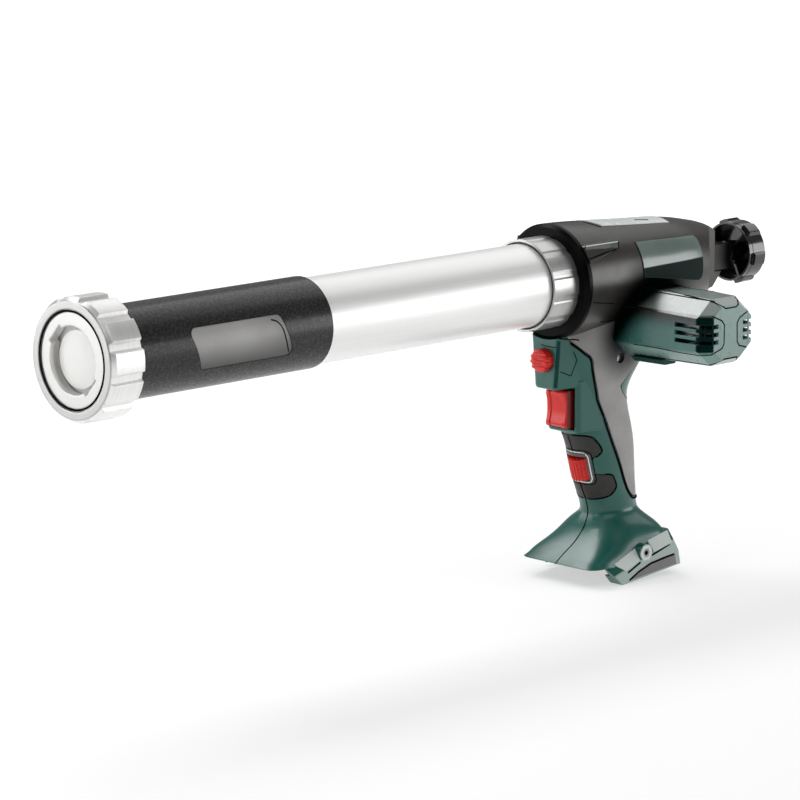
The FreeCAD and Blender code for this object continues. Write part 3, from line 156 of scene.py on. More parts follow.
# Lines read in the photograph's pixels and laid on the surface that carries them
motor_seam_px = ((668, 290.2), (680, 293.6), (700, 298.6), (715, 301.8))
motor_frame_px = ((634, 344.2), (660, 348.6), (680, 352.6), (700, 355.8), (711, 355.2), (722, 348.6),
                  (724, 344), (724.5, 325), (722, 320.8), (712.5, 316.4))
neck_top_px = ((546, 336.2), (556, 338.2), (565, 339.2), (576.5, 339.8), (579, 340.5))
neck_ledge_px = ((541, 344.6), (547, 346.2), (556, 347.8))
housing_low_px = ((593, 302.6), (603, 303.2), (614, 303.4))
neck_high_px = ((600, 321.8), (606, 321.2), (612, 320.4))
top_edge_px = ((582.5, 221.4), (592, 224.3), (601.4, 227.2))
top_slot_px = ((634.5, 219.8), (648, 219.8))
wedge_shadow_px = ((618.4, 241.6), (618.6, 247.8), (603, 253.8), (588.5, 259.6))
wedge_face_px = ((583.5, 247.8), (617.4, 242.6), (617.6, 247.6), (589.0, 259.0))
wedge_highlight_px = ((582.5, 246.9), (600, 244.2), (617.6, 241.6))
neck_mark_px = ((560.5, 372.0), (571.0, 376.0), (577.0, 360.0), (573.6, 352.0))
neck_corner_px = ((558.6, 341.5), (558, 352), (557, 366), (556, 380), (555.2, 388))
sleeve_rim_shadow_px = ((271, 319.6), (277.5, 321.8), (283, 328.5), (286.5, 340), (288.6, 351.5))

# Pads of the foot by their places along X and Z, and the ring round each belt hook hole
foot_pads = (((0.4246, -0.1861), (0.4462, -0.1790), (0.4459, -0.1863), (0.4320, -0.1912)),
             ((0.4579, -0.1756), (0.4768, -0.1715), (0.4763, -0.1790), (0.4588, -0.1830)))
foot_grooves = (((0.4340, -0.1926), (0.4460, -0.1875)), ((0.4570, -0.1845), (0.4740, -0.1797)))
bumper_line = ((0.4356, -0.1978), (0.4440, -0.1937), (0.4560, -0.1898), (0.4700, -0.1880),
               (0.4785, -0.1872))
cheek_least_y = 0.020
pad_lift = 0.0005
pad_sunk = 0.0016
pad_bevel = 0.0003
hook_x = 0.4515
hook_y = 0.0380
hook_z = -0.182
hook_ring_r = 0.0056
hook_ring_hole_r = 0.0033
hook_ring_lift = 0.0001
hook_ring_sides = 6

# Dial frame, trigger rails, neck corner, button ribs, ribs over the vents and block under the motor
dial_z = -0.1260
dial_rim_y = 0.0097
dial_rim_high = 0.0104
dial_rim_half = 0.0005
dial_groove_gap = 0.0015
dial_corner_shares = ((0.70, 1.00), (0.90, 0.93), (1.00, 0.72))
dial_turns = ((1, 1, False), (1, -1, True), (-1, -1, False), (-1, 1, True))
rail_y = 0.0070
rail_top_z = -0.0728
rail_low_z = -0.0962
rail_half = 0.0022
rail_rise = 0.0007
corner_half = 0.0013
button_ribs_yz = ((0.0055, -0.0450), (0.0075, -0.0485), (0.0080, -0.0520), (0.0070, -0.0555))
button_rib_half = 0.0010
button_rib_rise = 0.0007
motor_end_y = -0.1000
slot_rib_x = 0.0168
slot_rib_z0 = -0.0200
slot_rib_z1 = -0.0380
slot_rib_half = 0.0009
belly_x = 0.4540
belly_y0 = -0.0280
belly_y1 = -0.0550
belly_half = 0.0080
belly_rise = 0.0034

# Return springs, the joint that presses each and how far it travels
spring_joints = (("trigger_spring", "trigger_pull", 0.006), ("button_spring", "button_press", 0.004))

# Dark ring in the cap's front face
front_ring_r = 0.0292
front_ring_half = 0.00065
front_ring_sunk = 0.00010

# Texture of each kind of finish: noise scale and detail, the span of the noise in use, gloss and relief
wide_span = (0.3, 0.7)
tone_noise = (24.0, 3.0)
tone_span = (0.35, 0.65)
gloss_noise = (140.0, 4.0)
grain_detail = 3.0
grain_relief = 0.22
edge_gain = 1.6
edge_lift = 0.02
edge_span = (0.99, 0.80)
edge_samples = 4
coat_rough = 0.16
speck_detail = 2.0
speck_tone_span = (0.42, 0.68)
speck_rough_span = (0.4, 0.7)
speck_rough_drop = 0.14
speck_relief = 0.35
sleeve_coat = 0.45
sleeve_coat_rough = 0.24
sleeve_shine = 0.15
dust_noise = (60.0, 5.0)
rubber_noise = (300.0, 3.0)
rubber_rough_drop = 0.06
rubber_rough_rise = 0.08
rubber_relief = 0.30
line_noise = (1.0, 4.0)
line_shade_share = 0.92
line_depth = 0.00004
turned_stretch = (500.0, 24.0, 24.0)
drawn_stretch = (14.0, 2200.0, 2200.0)
fine_stretch = (900.0, 900.0, 900.0)
joint_noise = (400.0, 3.0)
joint_tones = ((0.0, 0.0, 0.0), (0.0025, 0.0025, 0.0025))
joint_rough = 0.9
joint_shine = 0.05


class Shader:
    """One procedural material with a Principled surface and helpers for its texture nodes."""

    def __init__(self, name):
        self.material = bpy.data.materials.new(name)
        self.material.use_nodes = True
        self.tree = self.material.node_tree
        self.surface = self.tree.nodes["Principled BSDF"]
        self.place = self.add("ShaderNodeTexCoord").outputs["Object"]

    def add(self, kind, **settings):
        node = self.tree.nodes.new(kind)
        for key, value in settings.items():
            setattr(node, key, value)
        return node

    def link(self, source, target):
        self.tree.links.new(source, target)

    def set(self, **values):
        for key, value in values.items():
            self.surface.inputs[key.replace("_", " ")].default_value = value

    def mapped(self, scale):
        node = self.add("ShaderNodeMapping")
        node.inputs["Scale"].default_value = scale
        self.link(self.place, node.inputs["Vector"])
        return node.outputs["Vector"]

    def noise(self, scale, detail=2.0, stretch=None):
        node = self.add("ShaderNodeTexNoise")
        node.inputs["Scale"].default_value = scale
        node.inputs["Detail"].default_value = detail
        self.link(self.mapped(stretch) if stretch else self.place, node.inputs["Vector"])
        return node.outputs["Fac"]

    def cells(self, scale):
        node = self.add("ShaderNodeTexVoronoi")
        node.inputs["Scale"].default_value = scale
        self.link(self.place, node.inputs["Vector"])
        return node.outputs["Distance"]

    def span(self, value, low, high, out_low, out_high, smooth=False):
        node = self.add("ShaderNodeMapRange")
        node.interpolation_type = "SMOOTHSTEP" if smooth else "LINEAR"
        for key, number in zip(("From Min", "From Max", "To Min", "To Max"), (low, high, out_low, out_high)):
            node.inputs[key].default_value = number
        self.link(value, node.inputs["Value"])
        return node.outputs["Result"]

    def mix(self, share, first, second):
        node = self.add("ShaderNodeMix", data_type="RGBA")
        self.link(share, node.inputs["Factor"])
        for socket, value in ((node.inputs[6], first), (node.inputs[7], second)):
            if isinstance(value, tuple):
                socket.default_value = (*value, 1.0)
            else:
                self.link(value, socket)
        return node.outputs[2]

    def colour(self, value):
        self.link(value, self.surface.inputs["Base Color"])

    def rough(self, value):
        self.link(value, self.surface.inputs["Roughness"])

    def rounded(self, edge):
        node = self.add("ShaderNodeBevel", samples=edge_samples)
        node.inputs["Radius"].default_value = edge
        return node.outputs["Normal"]

    def along(self, way):
        """Place of the point along a direction."""
        node = self.add("ShaderNodeVectorMath", operation="DOT_PRODUCT")
        node.inputs[1].default_value = way
        self.link(self.place, node.inputs[0])
        return node.outputs["Value"]

    def away(self, spot):
        """Distance of the point from a spot."""
        node = self.add("ShaderNodeVectorMath", operation="DISTANCE")
        node.inputs[1].default_value = spot
        self.link(self.place, node.inputs[0])
        return node.outputs["Value"]

    def faded(self, tone, fades):
        """Tone with painted light and shade laid over it along a direction or away from a spot."""
        for kind, vector, low, high, shade in fades:
            share = self.along(vector) if kind == "along" else self.away(vector)
            tone = self.mix(self.span(share, low, high, 0.0, 1.0, True), tone, shade)
        return tone

    def glossy(self, value, socket, dull):
        """Gloss that is lost along a direction or near a spot."""
        for kind, vector, low, high in dull:
            share = self.along(vector) if kind == "along" else self.away(vector)
            node = self.add("ShaderNodeMath", operation="MULTIPLY")
            self.link(self.span(share, low, high, 1.0, 0.0, True), node.inputs[0])
            if isinstance(value, float):
                node.inputs[1].default_value = value
            else:
                self.link(value, node.inputs[1])
            value = node.outputs[0]
        if isinstance(value, float):
            self.surface.inputs[socket].default_value = value
        else:
            self.link(value, self.surface.inputs[socket])

    def worn(self, normal, share):
        """Share of wear along the edges, where the rounded normal leaves the face's own."""
        face = self.add("ShaderNodeNewGeometry").outputs["Normal"]
        node = self.add("ShaderNodeVectorMath", operation="DOT_PRODUCT")
        self.link(normal, node.inputs[0])
        self.link(face, node.inputs[1])
        return self.span(node.outputs["Value"], *edge_span, 0.0, share)

    def relief(self, height, strength, depth, normal=None):
        bump = self.add("ShaderNodeBump")
        bump.inputs["Strength"].default_value = strength
        bump.inputs["Distance"].default_value = depth
        self.link(height, bump.inputs["Height"])
        if normal:
            self.link(normal, bump.inputs["Normal"])
        self.link(bump.outputs["Normal"], self.surface.inputs["Normal"])


def moulded(name, dark, light, rough, grain, depth, edge, wear=0.3, coat=0.0, fades=(), shine=0.5, dull=()):
    """Moulded plastic: a fine spark grain, slow tone changes, uneven gloss and paler edges."""
    s = Shader(name)
    normal = s.rounded(edge)
    tone = s.faded(s.mix(s.span(s.noise(*tone_noise), *tone_span, 0.0, 1.0), dark, light), fades)
    pale = tuple(min(1.0, edge_gain * c + edge_lift) for c in light)
    s.colour(s.mix(s.worn(normal, wear), tone, pale))
    s.rough(s.span(s.noise(*gloss_noise), *wide_span, *rough))
    s.relief(s.noise(grain, grain_detail), grain_relief, depth, normal)
    s.set(Coat_Roughness=coat_rough)
    s.glossy(coat, "Coat Weight", dull)
    s.glossy(shine, "Specular IOR Level", dull)
    return s.material


def pebbled(name, dark, light, rough, grain, depth, edge):
    """Black sleeve: raised specks of a powder grain, paler on their tops."""
    s = Shader(name)
    specks = s.noise(grain, speck_detail)
    s.colour(s.mix(s.span(specks, *speck_tone_span, 0.0, 1.0), dark, light))
    s.rough(s.span(specks, *speck_rough_span, rough, rough - speck_rough_drop))
    s.relief(specks, speck_relief, depth, s.rounded(edge))
    s.set(Coat_Weight=sleeve_coat, Coat_Roughness=sleeve_coat_rough, Specular_IOR_Level=sleeve_shine)
    return s.material


def rubber(name, dark, light, rough, grain, depth, edge, fades=()):
    """Soft grip: matt, with a fine pebble and a dusty variation."""
    s = Shader(name)
    s.colour(s.faded(s.mix(s.span(s.noise(*dust_noise), *wide_span, 0.0, 1.0), dark, light), fades))
    s.rough(s.span(s.noise(*rubber_noise), *wide_span, rough - rubber_rough_drop, rough + rubber_rough_rise))
    s.relief(s.cells(grain), rubber_relief, depth, s.rounded(edge))
    return s.material


def metal(name, tone, rough, relief, edge, stretch=fine_stretch, bare=1.0, fades=()):
    """Worked metal: fine lines along the working direction and an uneven gloss."""
    s = Shader(name)
    lines = s.noise(*line_noise, stretch)
    shade = tuple(line_shade_share * c for c in tone)
    s.colour(s.faded(s.mix(s.span(lines, *wide_span, 0.0, 1.0), shade, tone), fades))
    s.rough(s.span(lines, *wide_span, *rough))
    s.relief(lines, relief, line_depth, s.rounded(edge))
    s.set(Metallic=bare)
    return s.material


def groove(name):
    """The shade in a joint: matt black with a little dust."""
    s = Shader(name)
    s.colour(s.mix(s.noise(*joint_noise), *joint_tones))
    s.set(Roughness=joint_rough, Specular_IOR_Level=joint_shine)
    return s.material


# Directions and spots that painted light and shade and the gloss change along
way_back = (1.0, 0.0, 0.0)
way_left = (0.0, -1.0, 0.0)
way_up = (0.0, 0.0, 1.0)
way_down = (0.0, 0.0, -1.0)
way_near = (-0.7071, -0.7071, 0.0)
way_root = (0.0, 0.80, 0.60)
# Painted shadow: near-black laid round the motor's root on the motor covers, the housing and the grip, where
# they shade one another
root_spot = (0.462, -0.036, -0.030)
grip_root_spot = (0.452, -0.022, -0.040)
painted_root_shadow = (0.001, 0.0015, 0.0015)
plate_split = (-0.0068, -0.0060)
# Span along the near direction over the motor cover's corner facet, painted dark as shade and dulled
painted_corner_span = (-0.24500, -0.24420)

# Tones that several finishes share, then painted light and shade laid on some finishes
reds = ((0.58, 0.012, 0.008), (0.68, 0.018, 0.012))
motor_greens = ((0.010, 0.110, 0.092), (0.014, 0.128, 0.108))
# Painted shade on the grey sleeve plate: darker towards its rear end and towards its bottom
sleeve_plate_painted_shade = (
    ("along", way_back, 0.100, 0.172, (0.15, 0.147, 0.143)),
    ("along", way_down, -0.004, 0.014, (0.060, 0.059, 0.057)),
)
# Painted light and shade on the motor covers: black on the upper side below the top facet, a pale top facet,
# a pale lower chamfer, a pale end face, a dark near corner and black towards the root at the housing
motor_painted_shading = (
    ("along", way_up, -0.0300, -0.0175, painted_root_shadow),
    ("along", way_up, -0.0168, -0.0156, (0.200, 0.250, 0.230)),
    ("along", way_down, 0.0410, 0.0424, (0.16, 0.27, 0.24)),
    ("along", way_left, 0.0990, 0.0998, (0.15, 0.25, 0.222)),
    ("along", way_near, *painted_corner_span, (0.002, 0.012, 0.010)),
    ("along", way_root, -0.0570, -0.0400, painted_root_shadow),
)
motor_dull = (("along", way_near, *painted_corner_span), ("along", way_root, -0.0530, -0.0420))
# Painted shadow: dark red on the trigger's near side, in its recess
trigger_painted_shadow = ("along", way_left, 0.0086, 0.0094, (0.10, 0.003, 0.002))
# Painted shade: darker grey on the frontmost millimetre of the cap and nozzle plate
cap_front_painted_shade = ("along", way_back, 0.0012, 0.0006, (0.46, 0.46, 0.455))
# Painted shade: the side plates darker below their crease, where their lower facet turns from the light
side_plate_painted_shade = ("along", way_down, *plate_split, (0.022, 0.033, 0.030))
# Painted sheen: pale grey-green on the outer faces of the handle's cheeks
cheek_face = (0.0372, 0.0378)
cheek_painted_sheen = (0.33, 0.41, 0.38)

# One finish for each material slot
finish = {
    "tube_aluminium": metal("tube_satin", (0.92, 0.92, 0.91), rough=(0.36, 0.44), relief=0.02, edge=0.0004,
                            stretch=drawn_stretch, bare=0.45),
    "turned_aluminium": metal("aluminium_turned", (0.54, 0.535, 0.528), rough=(0.33, 0.36), relief=0.01,
                              edge=0.0008, stretch=turned_stretch, bare=0.85),
    "sleeve_black": pebbled("sleeve_grain", (0.001, 0.001, 0.001), (0.030, 0.029, 0.028), rough=0.46,
                            grain=700.0, depth=0.0003, edge=0.0004),
    "plate_grey": moulded("plate_grey", (0.29, 0.285, 0.28), (0.35, 0.345, 0.34), rough=(0.30, 0.42),
                          grain=2400.0, depth=0.0001, edge=0.0001, wear=0.0, fades=sleeve_plate_painted_shade),
    "seal_rubber": rubber("seal_rubber", (0.003, 0.003, 0.003), (0.008, 0.008, 0.008), rough=0.60,
                          grain=1800.0, depth=0.0001, edge=0.0003),
    "flange_black": moulded("flange_black", (0.001, 0.001, 0.001), (0.002, 0.002, 0.002), rough=(0.30, 0.40),
                            grain=1900.0, depth=0.00005, edge=0.0006, wear=0.05, shine=0.06),
    # Housing: painted shadow, near-black towards the motor's root, where its gloss is also dulled
    "housing_dark": moulded("housing_dark", (0.024, 0.022, 0.019), (0.032, 0.029, 0.026), rough=(0.28, 0.34),
                            grain=2000.0, depth=0.00004, edge=0.0006, wear=0.08, shine=0.42,
                            fades=(("away", root_spot, 0.052, 0.026, painted_root_shadow),),
                            dull=(("away", root_spot, 0.052, 0.030),)),
    "plate_pale": moulded("plate_pale", (0.100, 0.145, 0.130), (0.130, 0.180, 0.163), rough=(0.20, 0.28),
                          grain=2400.0, depth=0.00008, edge=0.0003, wear=0.8),
    "shell_green": moulded("shell_green", (0.0015, 0.072, 0.055), (0.0025, 0.088, 0.068), rough=(0.20, 0.28),
                           grain=1800.0, depth=0.00008, edge=0.0010, wear=0.25, coat=0.8),
    # Soft grip: painted shadow, near-black towards the motor's root above it
    "soft_grip": rubber("soft_grip", (0.235, 0.228, 0.220), (0.285, 0.278, 0.270), rough=0.46, grain=1500.0,
                        depth=0.00012, edge=0.0006,
                        fades=(("away", grip_root_spot, 0.036, 0.014, painted_root_shadow),)),
    "pad_black": rubber("pad_black", (0.008, 0.007, 0.006), (0.015, 0.013, 0.012), rough=0.44, grain=1500.0,
                        depth=0.00015, edge=0.0005),
    "bezel_grey": moulded("bezel_grey", (0.060, 0.062, 0.060), (0.085, 0.088, 0.085), rough=(0.22, 0.32),
                          grain=2200.0, depth=0.00006, edge=0.0003, wear=0.9),
    "control_red": moulded("control_red", *reds, rough=(0.22, 0.30), grain=2200.0, depth=0.00006, edge=0.0008,
                           wear=0.1, coat=0.1, shine=0.3),
    "knob_black": moulded("knob_black", (0.002, 0.002, 0.002), (0.004, 0.004, 0.004), rough=(0.10, 0.16),
                          grain=1800.0, depth=0.00004, edge=0.0008, coat=0.5),
    "piston_white": moulded("piston_white", (0.76, 0.76, 0.74), (0.82, 0.82, 0.80), rough=(0.30, 0.42),
                            grain=1800.0, depth=0.00008, edge=0.0005),
    "rod_steel": metal("rod_steel", (0.035, 0.035, 0.036), rough=(0.30, 0.42), relief=0.08, edge=0.0003,
                       stretch=drawn_stretch),
    "gear_steel": metal("gear_steel", (0.55, 0.55, 0.56), rough=(0.24, 0.36), relief=0.06, edge=0.0002),
    "bearing_steel": metal("bearing_steel", (0.75, 0.75, 0.76), rough=(0.12, 0.20), relief=0.03, edge=0.0002),
    "case_metal": metal("case_metal", (0.45, 0.45, 0.46), rough=(0.40, 0.55), relief=0.20, edge=0.0004),
    "motor_steel": metal("motor_steel", (0.40, 0.40, 0.41), rough=(0.28, 0.40), relief=0.06, edge=0.0003),
    "inner_plastic": moulded("inner_plastic", (0.010, 0.010, 0.010), (0.018, 0.018, 0.018),
                             rough=(0.40, 0.52), grain=1800.0, depth=0.0001, edge=0.0003),
    "contact_brass": metal("contact_brass", (0.70, 0.52, 0.24), rough=(0.22, 0.34), relief=0.05, edge=0.0002),
    "board_green": moulded("board_green", (0.010, 0.10, 0.03), (0.02, 0.14, 0.05), rough=(0.30, 0.42),
                           grain=1800.0, depth=0.00005, edge=0.0002),
    "screw_steel": metal("screw_steel", (0.30, 0.30, 0.31), rough=(0.24, 0.36), relief=0.06, edge=0.0002),
    "spring_steel": metal("spring_steel", (0.55, 0.55, 0.56), rough=(0.20, 0.30), relief=0.04, edge=0.0001),
}

# Finishes of single nodes that differ from their slot
node_finish = {
    # Top plate: its pale tone is painted sheen of the bright surroundings on its top
    "top_plate": moulded("plate_top_painted_sheen", (0.66, 0.71, 0.68), (0.74, 0.79, 0.76), rough=(0.22, 0.30),
                         grain=2400.0, depth=0.00008, edge=0.0003),
    "trigger": moulded("trigger_red", *reds, rough=(0.22, 0.30), grain=2200.0, depth=0.00006, edge=0.0010,
                       wear=0.1, coat=0.1, fades=(trigger_painted_shadow,), shine=0.3),
    "hook_inserts": finish["screw_steel"],
    "rail_bumpers": rubber("bumper_grey", (0.135, 0.132, 0.126), (0.175, 0.171, 0.164), rough=0.46,
                           grain=1500.0, depth=0.00012, edge=0.0004),
}
# Motor covers: green with the painted light and shade above, their gloss dulled at the near corner and the
# root
for word in ("front", "rear"):
    node_finish["motor_cover_" + word] = moulded(
        "motor_%s_green" % word, *motor_greens, rough=(0.26, 0.32), grain=5000.0, depth=0.00003, edge=0.0010,
        wear=0.15, coat=0.5, fades=motor_painted_shading, dull=motor_dull)
for side, word in sides:
    # Handle halves: green, with the painted sheen on their cheeks
    node_finish["handle_" + word] = moulded(
        "handle_green_" + word, (0.0020, 0.080, 0.062), (0.0030, 0.096, 0.075), rough=(0.30, 0.38),
        grain=1800.0, depth=0.00006, edge=0.0010, wear=0.25, coat=0.25, shine=0.45,
        fades=(("along", (0.0, side, 0.0), *cheek_face, cheek_painted_sheen),))
    node_finish["side_plate_" + word] = moulded(
        "plate_side_" + word, (0.105, 0.150, 0.135), (0.135, 0.185, 0.168), rough=(0.18, 0.26), grain=2400.0,
        depth=0.00008, edge=0.0003, wear=0.8, coat=0.3, fades=(side_plate_painted_shade,),
        dull=(("along", way_down, *plate_split),))
for node in ("cap_nut", "nozzle_plate"):
    node_finish[node] = metal(node + "_satin", (0.90, 0.895, 0.885), rough=(0.32, 0.36), relief=0.01,
                              edge=0.0014, stretch=turned_stretch, bare=0.85, fades=(cap_front_painted_shade,))

# Finishes of lines, rims and pads
line_finish = groove("joint_shade")
rim_finish = metal("bright_rim", (0.72, 0.72, 0.71), rough=(0.24, 0.32), relief=0.02, edge=0.0002)
foot_finish = moulded("foot_pale", (0.60, 0.66, 0.63), (0.68, 0.73, 0.70), rough=(0.26, 0.34), grain=1800.0,
                      depth=0.00006, edge=0.0004)
# Painted shade: dark green for the strip on the neck's rounded corner, also used on the bulge under the motor
painted_shade_green = moulded("painted_shade_green", (0.001, 0.036, 0.030), (0.0015, 0.046, 0.038), rough=(0.30, 0.40),
                       grain=1800.0, depth=0.00006, edge=0.0006, wear=0.0, shine=0.12)
wedge_green = moulded("wedge_green", (0.022, 0.034, 0.030), (0.030, 0.044, 0.039), rough=(0.26, 0.34),
                      grain=1800.0, depth=0.00006, edge=0.0003, wear=0.0, shine=0.3)

for part in frame["record"]["subparts"]:
    mesh = nodes[part["node"]].data
    mesh.materials.clear()
    mesh.materials.append(node_finish.get(part["node"], finish[part["material_slot"]]))


# Where the camera stands and where a pixel of the photograph meets the tool
def camera_axes():
    a, e, r = (math.radians(v) for v in (view_azimuth, view_elevation, view_roll))
    back = Vector((math.sin(a) * math.cos(e), -math.cos(a) * math.cos(e), math.sin(e)))
    level = Vector((0.0, 0.0, 1.0)).cross(back).normalized()
    upright = back.cross(level)
    right = math.cos(r) * level + math.sin(r) * upright
    return right, math.cos(r) * upright - math.sin(r) * level, back


right_axis, up_axis, back_axis = camera_axes()
camera_place = view_target + back_axis * view_distance


def tree_of(names):
    points, faces = [], []
    for name in names:
        mesh = nodes[name].data
        start = len(points)
        points += [v.co.copy() for v in mesh.vertices]
        faces += [[start + i for i in p.vertices] for p in mesh.polygons]
    return BVHTree.FromPolygons(points, faces)


def photo_hit(tree, px, py):
    across = (px / photo_side - 0.5 + view_shift[0]) * view_sensor / view_lens
    upward = (0.5 - py / photo_side + view_shift[1]) * view_sensor / view_lens
    return hit(tree, camera_place, right_axis * across + up_axis * upward - back_axis)


def hit(tree, start, direction):
    place, normal, _, _ = tree.ray_cast(start, direction.normalized())
    if place is None:
        return None
    return place, normal if normal.dot(direction) < 0 else -normal


def dense(points, count):
    out = []
    for a, b in zip(points, points[1:]):
        out += [tuple(u + (v - u) * k / count for u, v in zip(a, b)) for k in range(count)]
    return out + [tuple(points[-1])]


def smooth(points, count):
    ends = [points[0]] + list(points) + [points[-1]]
    out = []
    for a, b, c, d in zip(ends, ends[1:], ends[2:], ends[3:]):
        for k in range(count):
            t = k / count
            out.append(tuple(0.5 * (2 * q + (r - p) * t + (2 * p - 5 * q + 4 * r - s) * t ** 2
                                    + (3 * q - p - 3 * r + s) * t ** 3) for p, q, r, s in zip(a, b, c, d)))
    return out + [tuple(points[-1])]


# Fine lines and small plates that lie on a surface
def add_piece(name, points, faces, slot_name, body="tool_body", look=None):
    mesh = bpy.data.meshes.new(name)
    mesh.from_pydata(points, [], faces)
    mesh.validate()
    mesh.update()
    piece = bpy.data.objects.new(name, mesh)
    bpy.context.scene.collection.objects.link(piece)
    mesh.materials.append(look or finish[slot_name])
    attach(piece, body)
    return piece


def bead(name, path, half, slot_name="seal_rubber", body="tool_body", look=line_finish, rise=line_rise):
    """A joint line or a low rail: a flat-topped strip that follows the surface."""
    path = [p for p in path if p]
    section = ((-1.0, -line_sunk), (-bead_flat_share, rise), (bead_flat_share, rise), (1.0, -line_sunk))
    count = len(section)
    points, faces = [], []
    for i, (place, normal) in enumerate(path):
        along = path[min(i + 1, len(path) - 1)][0] - path[max(i - 1, 0)][0]
        side = normal.cross(along).normalized()
        for across, up in section:
            points.append(place + side * half * across + normal * up)
    last = count * (len(path) - 1)
    for start in range(0, last, count):
        for k in range(count):
            n = (k + 1) % count
            faces.append((start + k, start + n, start + count + n, start + count + k))
    faces += [tuple(range(count))[::-1], tuple(range(last, last + count))]
    return add_piece(name, points, faces, slot_name, body, look)


def photo_path(tree, pixels, curved):
    """Places where the photograph's pixels meet the surface."""
    spots = smooth(pixels, photo_steps) if curved else dense(pixels, photo_steps)
    return [photo_hit(tree, px, py) for px, py in spots]


def photo_line(name, tree, pixels, half, curved=True, **settings):
    return bead(name, photo_path(tree, pixels, curved), half, **settings)


def mirrored_photo_line(name, tree, pixels, half, curved):
    """The same line on the far side of the motor cover."""
    path = []
    for place, normal in (found for found in photo_path(tree, pixels, curved) if found):
        flip = Vector((2 * motor_middle_x - place.x, place.y, place.z))
        out = Vector((-normal.x, normal.y, normal.z))
        path.append(hit(tree, flip + out * line_step, -out))
    return bead(name, path, half)


def side_path(tree, spots, side):
    """Places along X and Z laid on the surface from one side."""
    return [hit(tree, Vector((x, side * cast_from, z)), Vector((0, -side, 0))) for x, z in spots]


def front_path(tree, spots):
    """Places along Y and Z laid on the surface from the front."""
    return [hit(tree, Vector((handle_x - cast_from, y, z)), Vector((1, 0, 0))) for y, z in spots]


def cheek_path(tree, spots, side):
    """Places along X and Z laid on the cheek of one side, without those that meet the other side."""
    return [f for f in side_path(tree, spots, side) if f and f[0].y * side > cheek_least_y]


def plane_line(name, tree, points, side, half):
    return bead(name, side_path(tree, dense(points, plane_steps), side), half)


def side_line(name, tree, shares, side, half, rise=line_rise):
    spots = smooth([(handle_x + u * handle_reach, -v * handle_drop) for u, v in shares], share_steps)
    return bead(name, side_path(tree, spots, side), half, rise=rise)


def evenly(first, last):
    count = round(abs(last - first) / line_step)
    return [first + (last - first) * k / count for k in range(count + 1)]


def level_line(name, tree, z0, z1, start_x, half):
    """A line down the middle plane, seen along X from one end."""
    way = Vector((motor_middle_x - start_x, 0, 0))
    return bead(name, [hit(tree, Vector((start_x, 0, z)), way) for z in evenly(z0, z1)], half)


def top_line(name, tree, x0, x1, half):
    """A line along the middle plane, seen from above."""
    down = Vector((0, 0, -1))
    return bead(name, [hit(tree, Vector((x, 0, cast_from)), down) for x in evenly(x0, x1)], half)


def joint_lines():
    shell = tree_of(["handle_left", "handle_right", "rear_grip_left", "rear_grip_right",
                     "front_pad_left", "front_pad_right"])
    motor = tree_of(["motor_cover_front", "motor_cover_rear"])
    body = tree_of(["housing_left", "housing_right", "top_plate", "side_plate_left", "side_plate_right",
                    "front_flange"])
    for side, word in sides:
        side_line("grip_joint_" + word, shell, grip_line_shares, side, grip_half, grip_rise)
        side_line("window_joint_" + word, shell, window_shares, side, line_half)
        side_line("pad_joint_" + word, shell, pad_shares, side, line_half)
    for k, (z0, z1) in enumerate(front_seam_z):
        level_line("front_seam_%d" % k, shell, z0, z1, handle_x - cast_from, line_half)
    level_line("rear_seam", shell, *rear_seam_z, handle_x + handle_reach + cast_from, fine_half)
    for k, (x0, x1) in enumerate(housing_seam_x):
        top_line("housing_seam_%d" % k, body, x0, x1, fine_half)
    for word, pixels in (("motor_seam", motor_seam_px), ("motor_frame", motor_frame_px)):
        photo_line(word + "_near", motor, pixels, line_half, False)
        mirrored_photo_line(word + "_far", motor, pixels, line_half, False)
    for word, points in (("motor_tab", tab_points), ("motor_low_tab", low_tab_points)):
        plane_line(word, motor, [(motor_middle_x + x, z) for x, z in points], -1, line_half)
    for side, word in sides:
        plane_line("plate_front_" + word, body, plate_front_points, side, fine_half)
    # Dark outline on the wedge rib's right and bottom edges: partly a joint, partly a painted shadow under
    # the proud rib
    photo_line("wedge_line", body, wedge_shadow_px, line_half, False)
    photo_line("neck_top_joint", shell, neck_top_px, line_half)
    photo_line("neck_ledge", shell, neck_ledge_px, fine_half)
    photo_line("neck_mark", shell, neck_mark_px, fine_half, False)
    photo_line("neck_high_line", body, neck_high_px, fine_half)
    photo_line("housing_low_line", body, housing_low_px, fine_half)
    photo_line("top_plate_edge", body, top_edge_px, bold_half, False)
    photo_line("top_plate_slot", body, top_slot_px, bold_half, False)


def raised_pad(name, corners, slot_name, look):
    """A low flat pad with bevelled sides on a slanted face."""
    normal = sum((n for _, n in corners), Vector()).normalized()
    centre = sum((p for p, _ in corners), Vector()) / len(corners)
    count = len(corners)
    points = []
    for rise, inset in ((-pad_sunk, 0.0), (pad_lift - pad_bevel, 0.0), (pad_lift, pad_bevel)):
        for place, _ in corners:
            points.append(place + (centre - place).normalized() * inset + normal * rise)
    faces = [tuple(range(2 * count, 3 * count))]
    for ring in range(2):
        for k in range(count):
            a, b = ring * count + k, ring * count + (k + 1) % count
            faces.append((a, b, b + count, a + count))
    return add_piece(name, points, faces, slot_name, look=look)


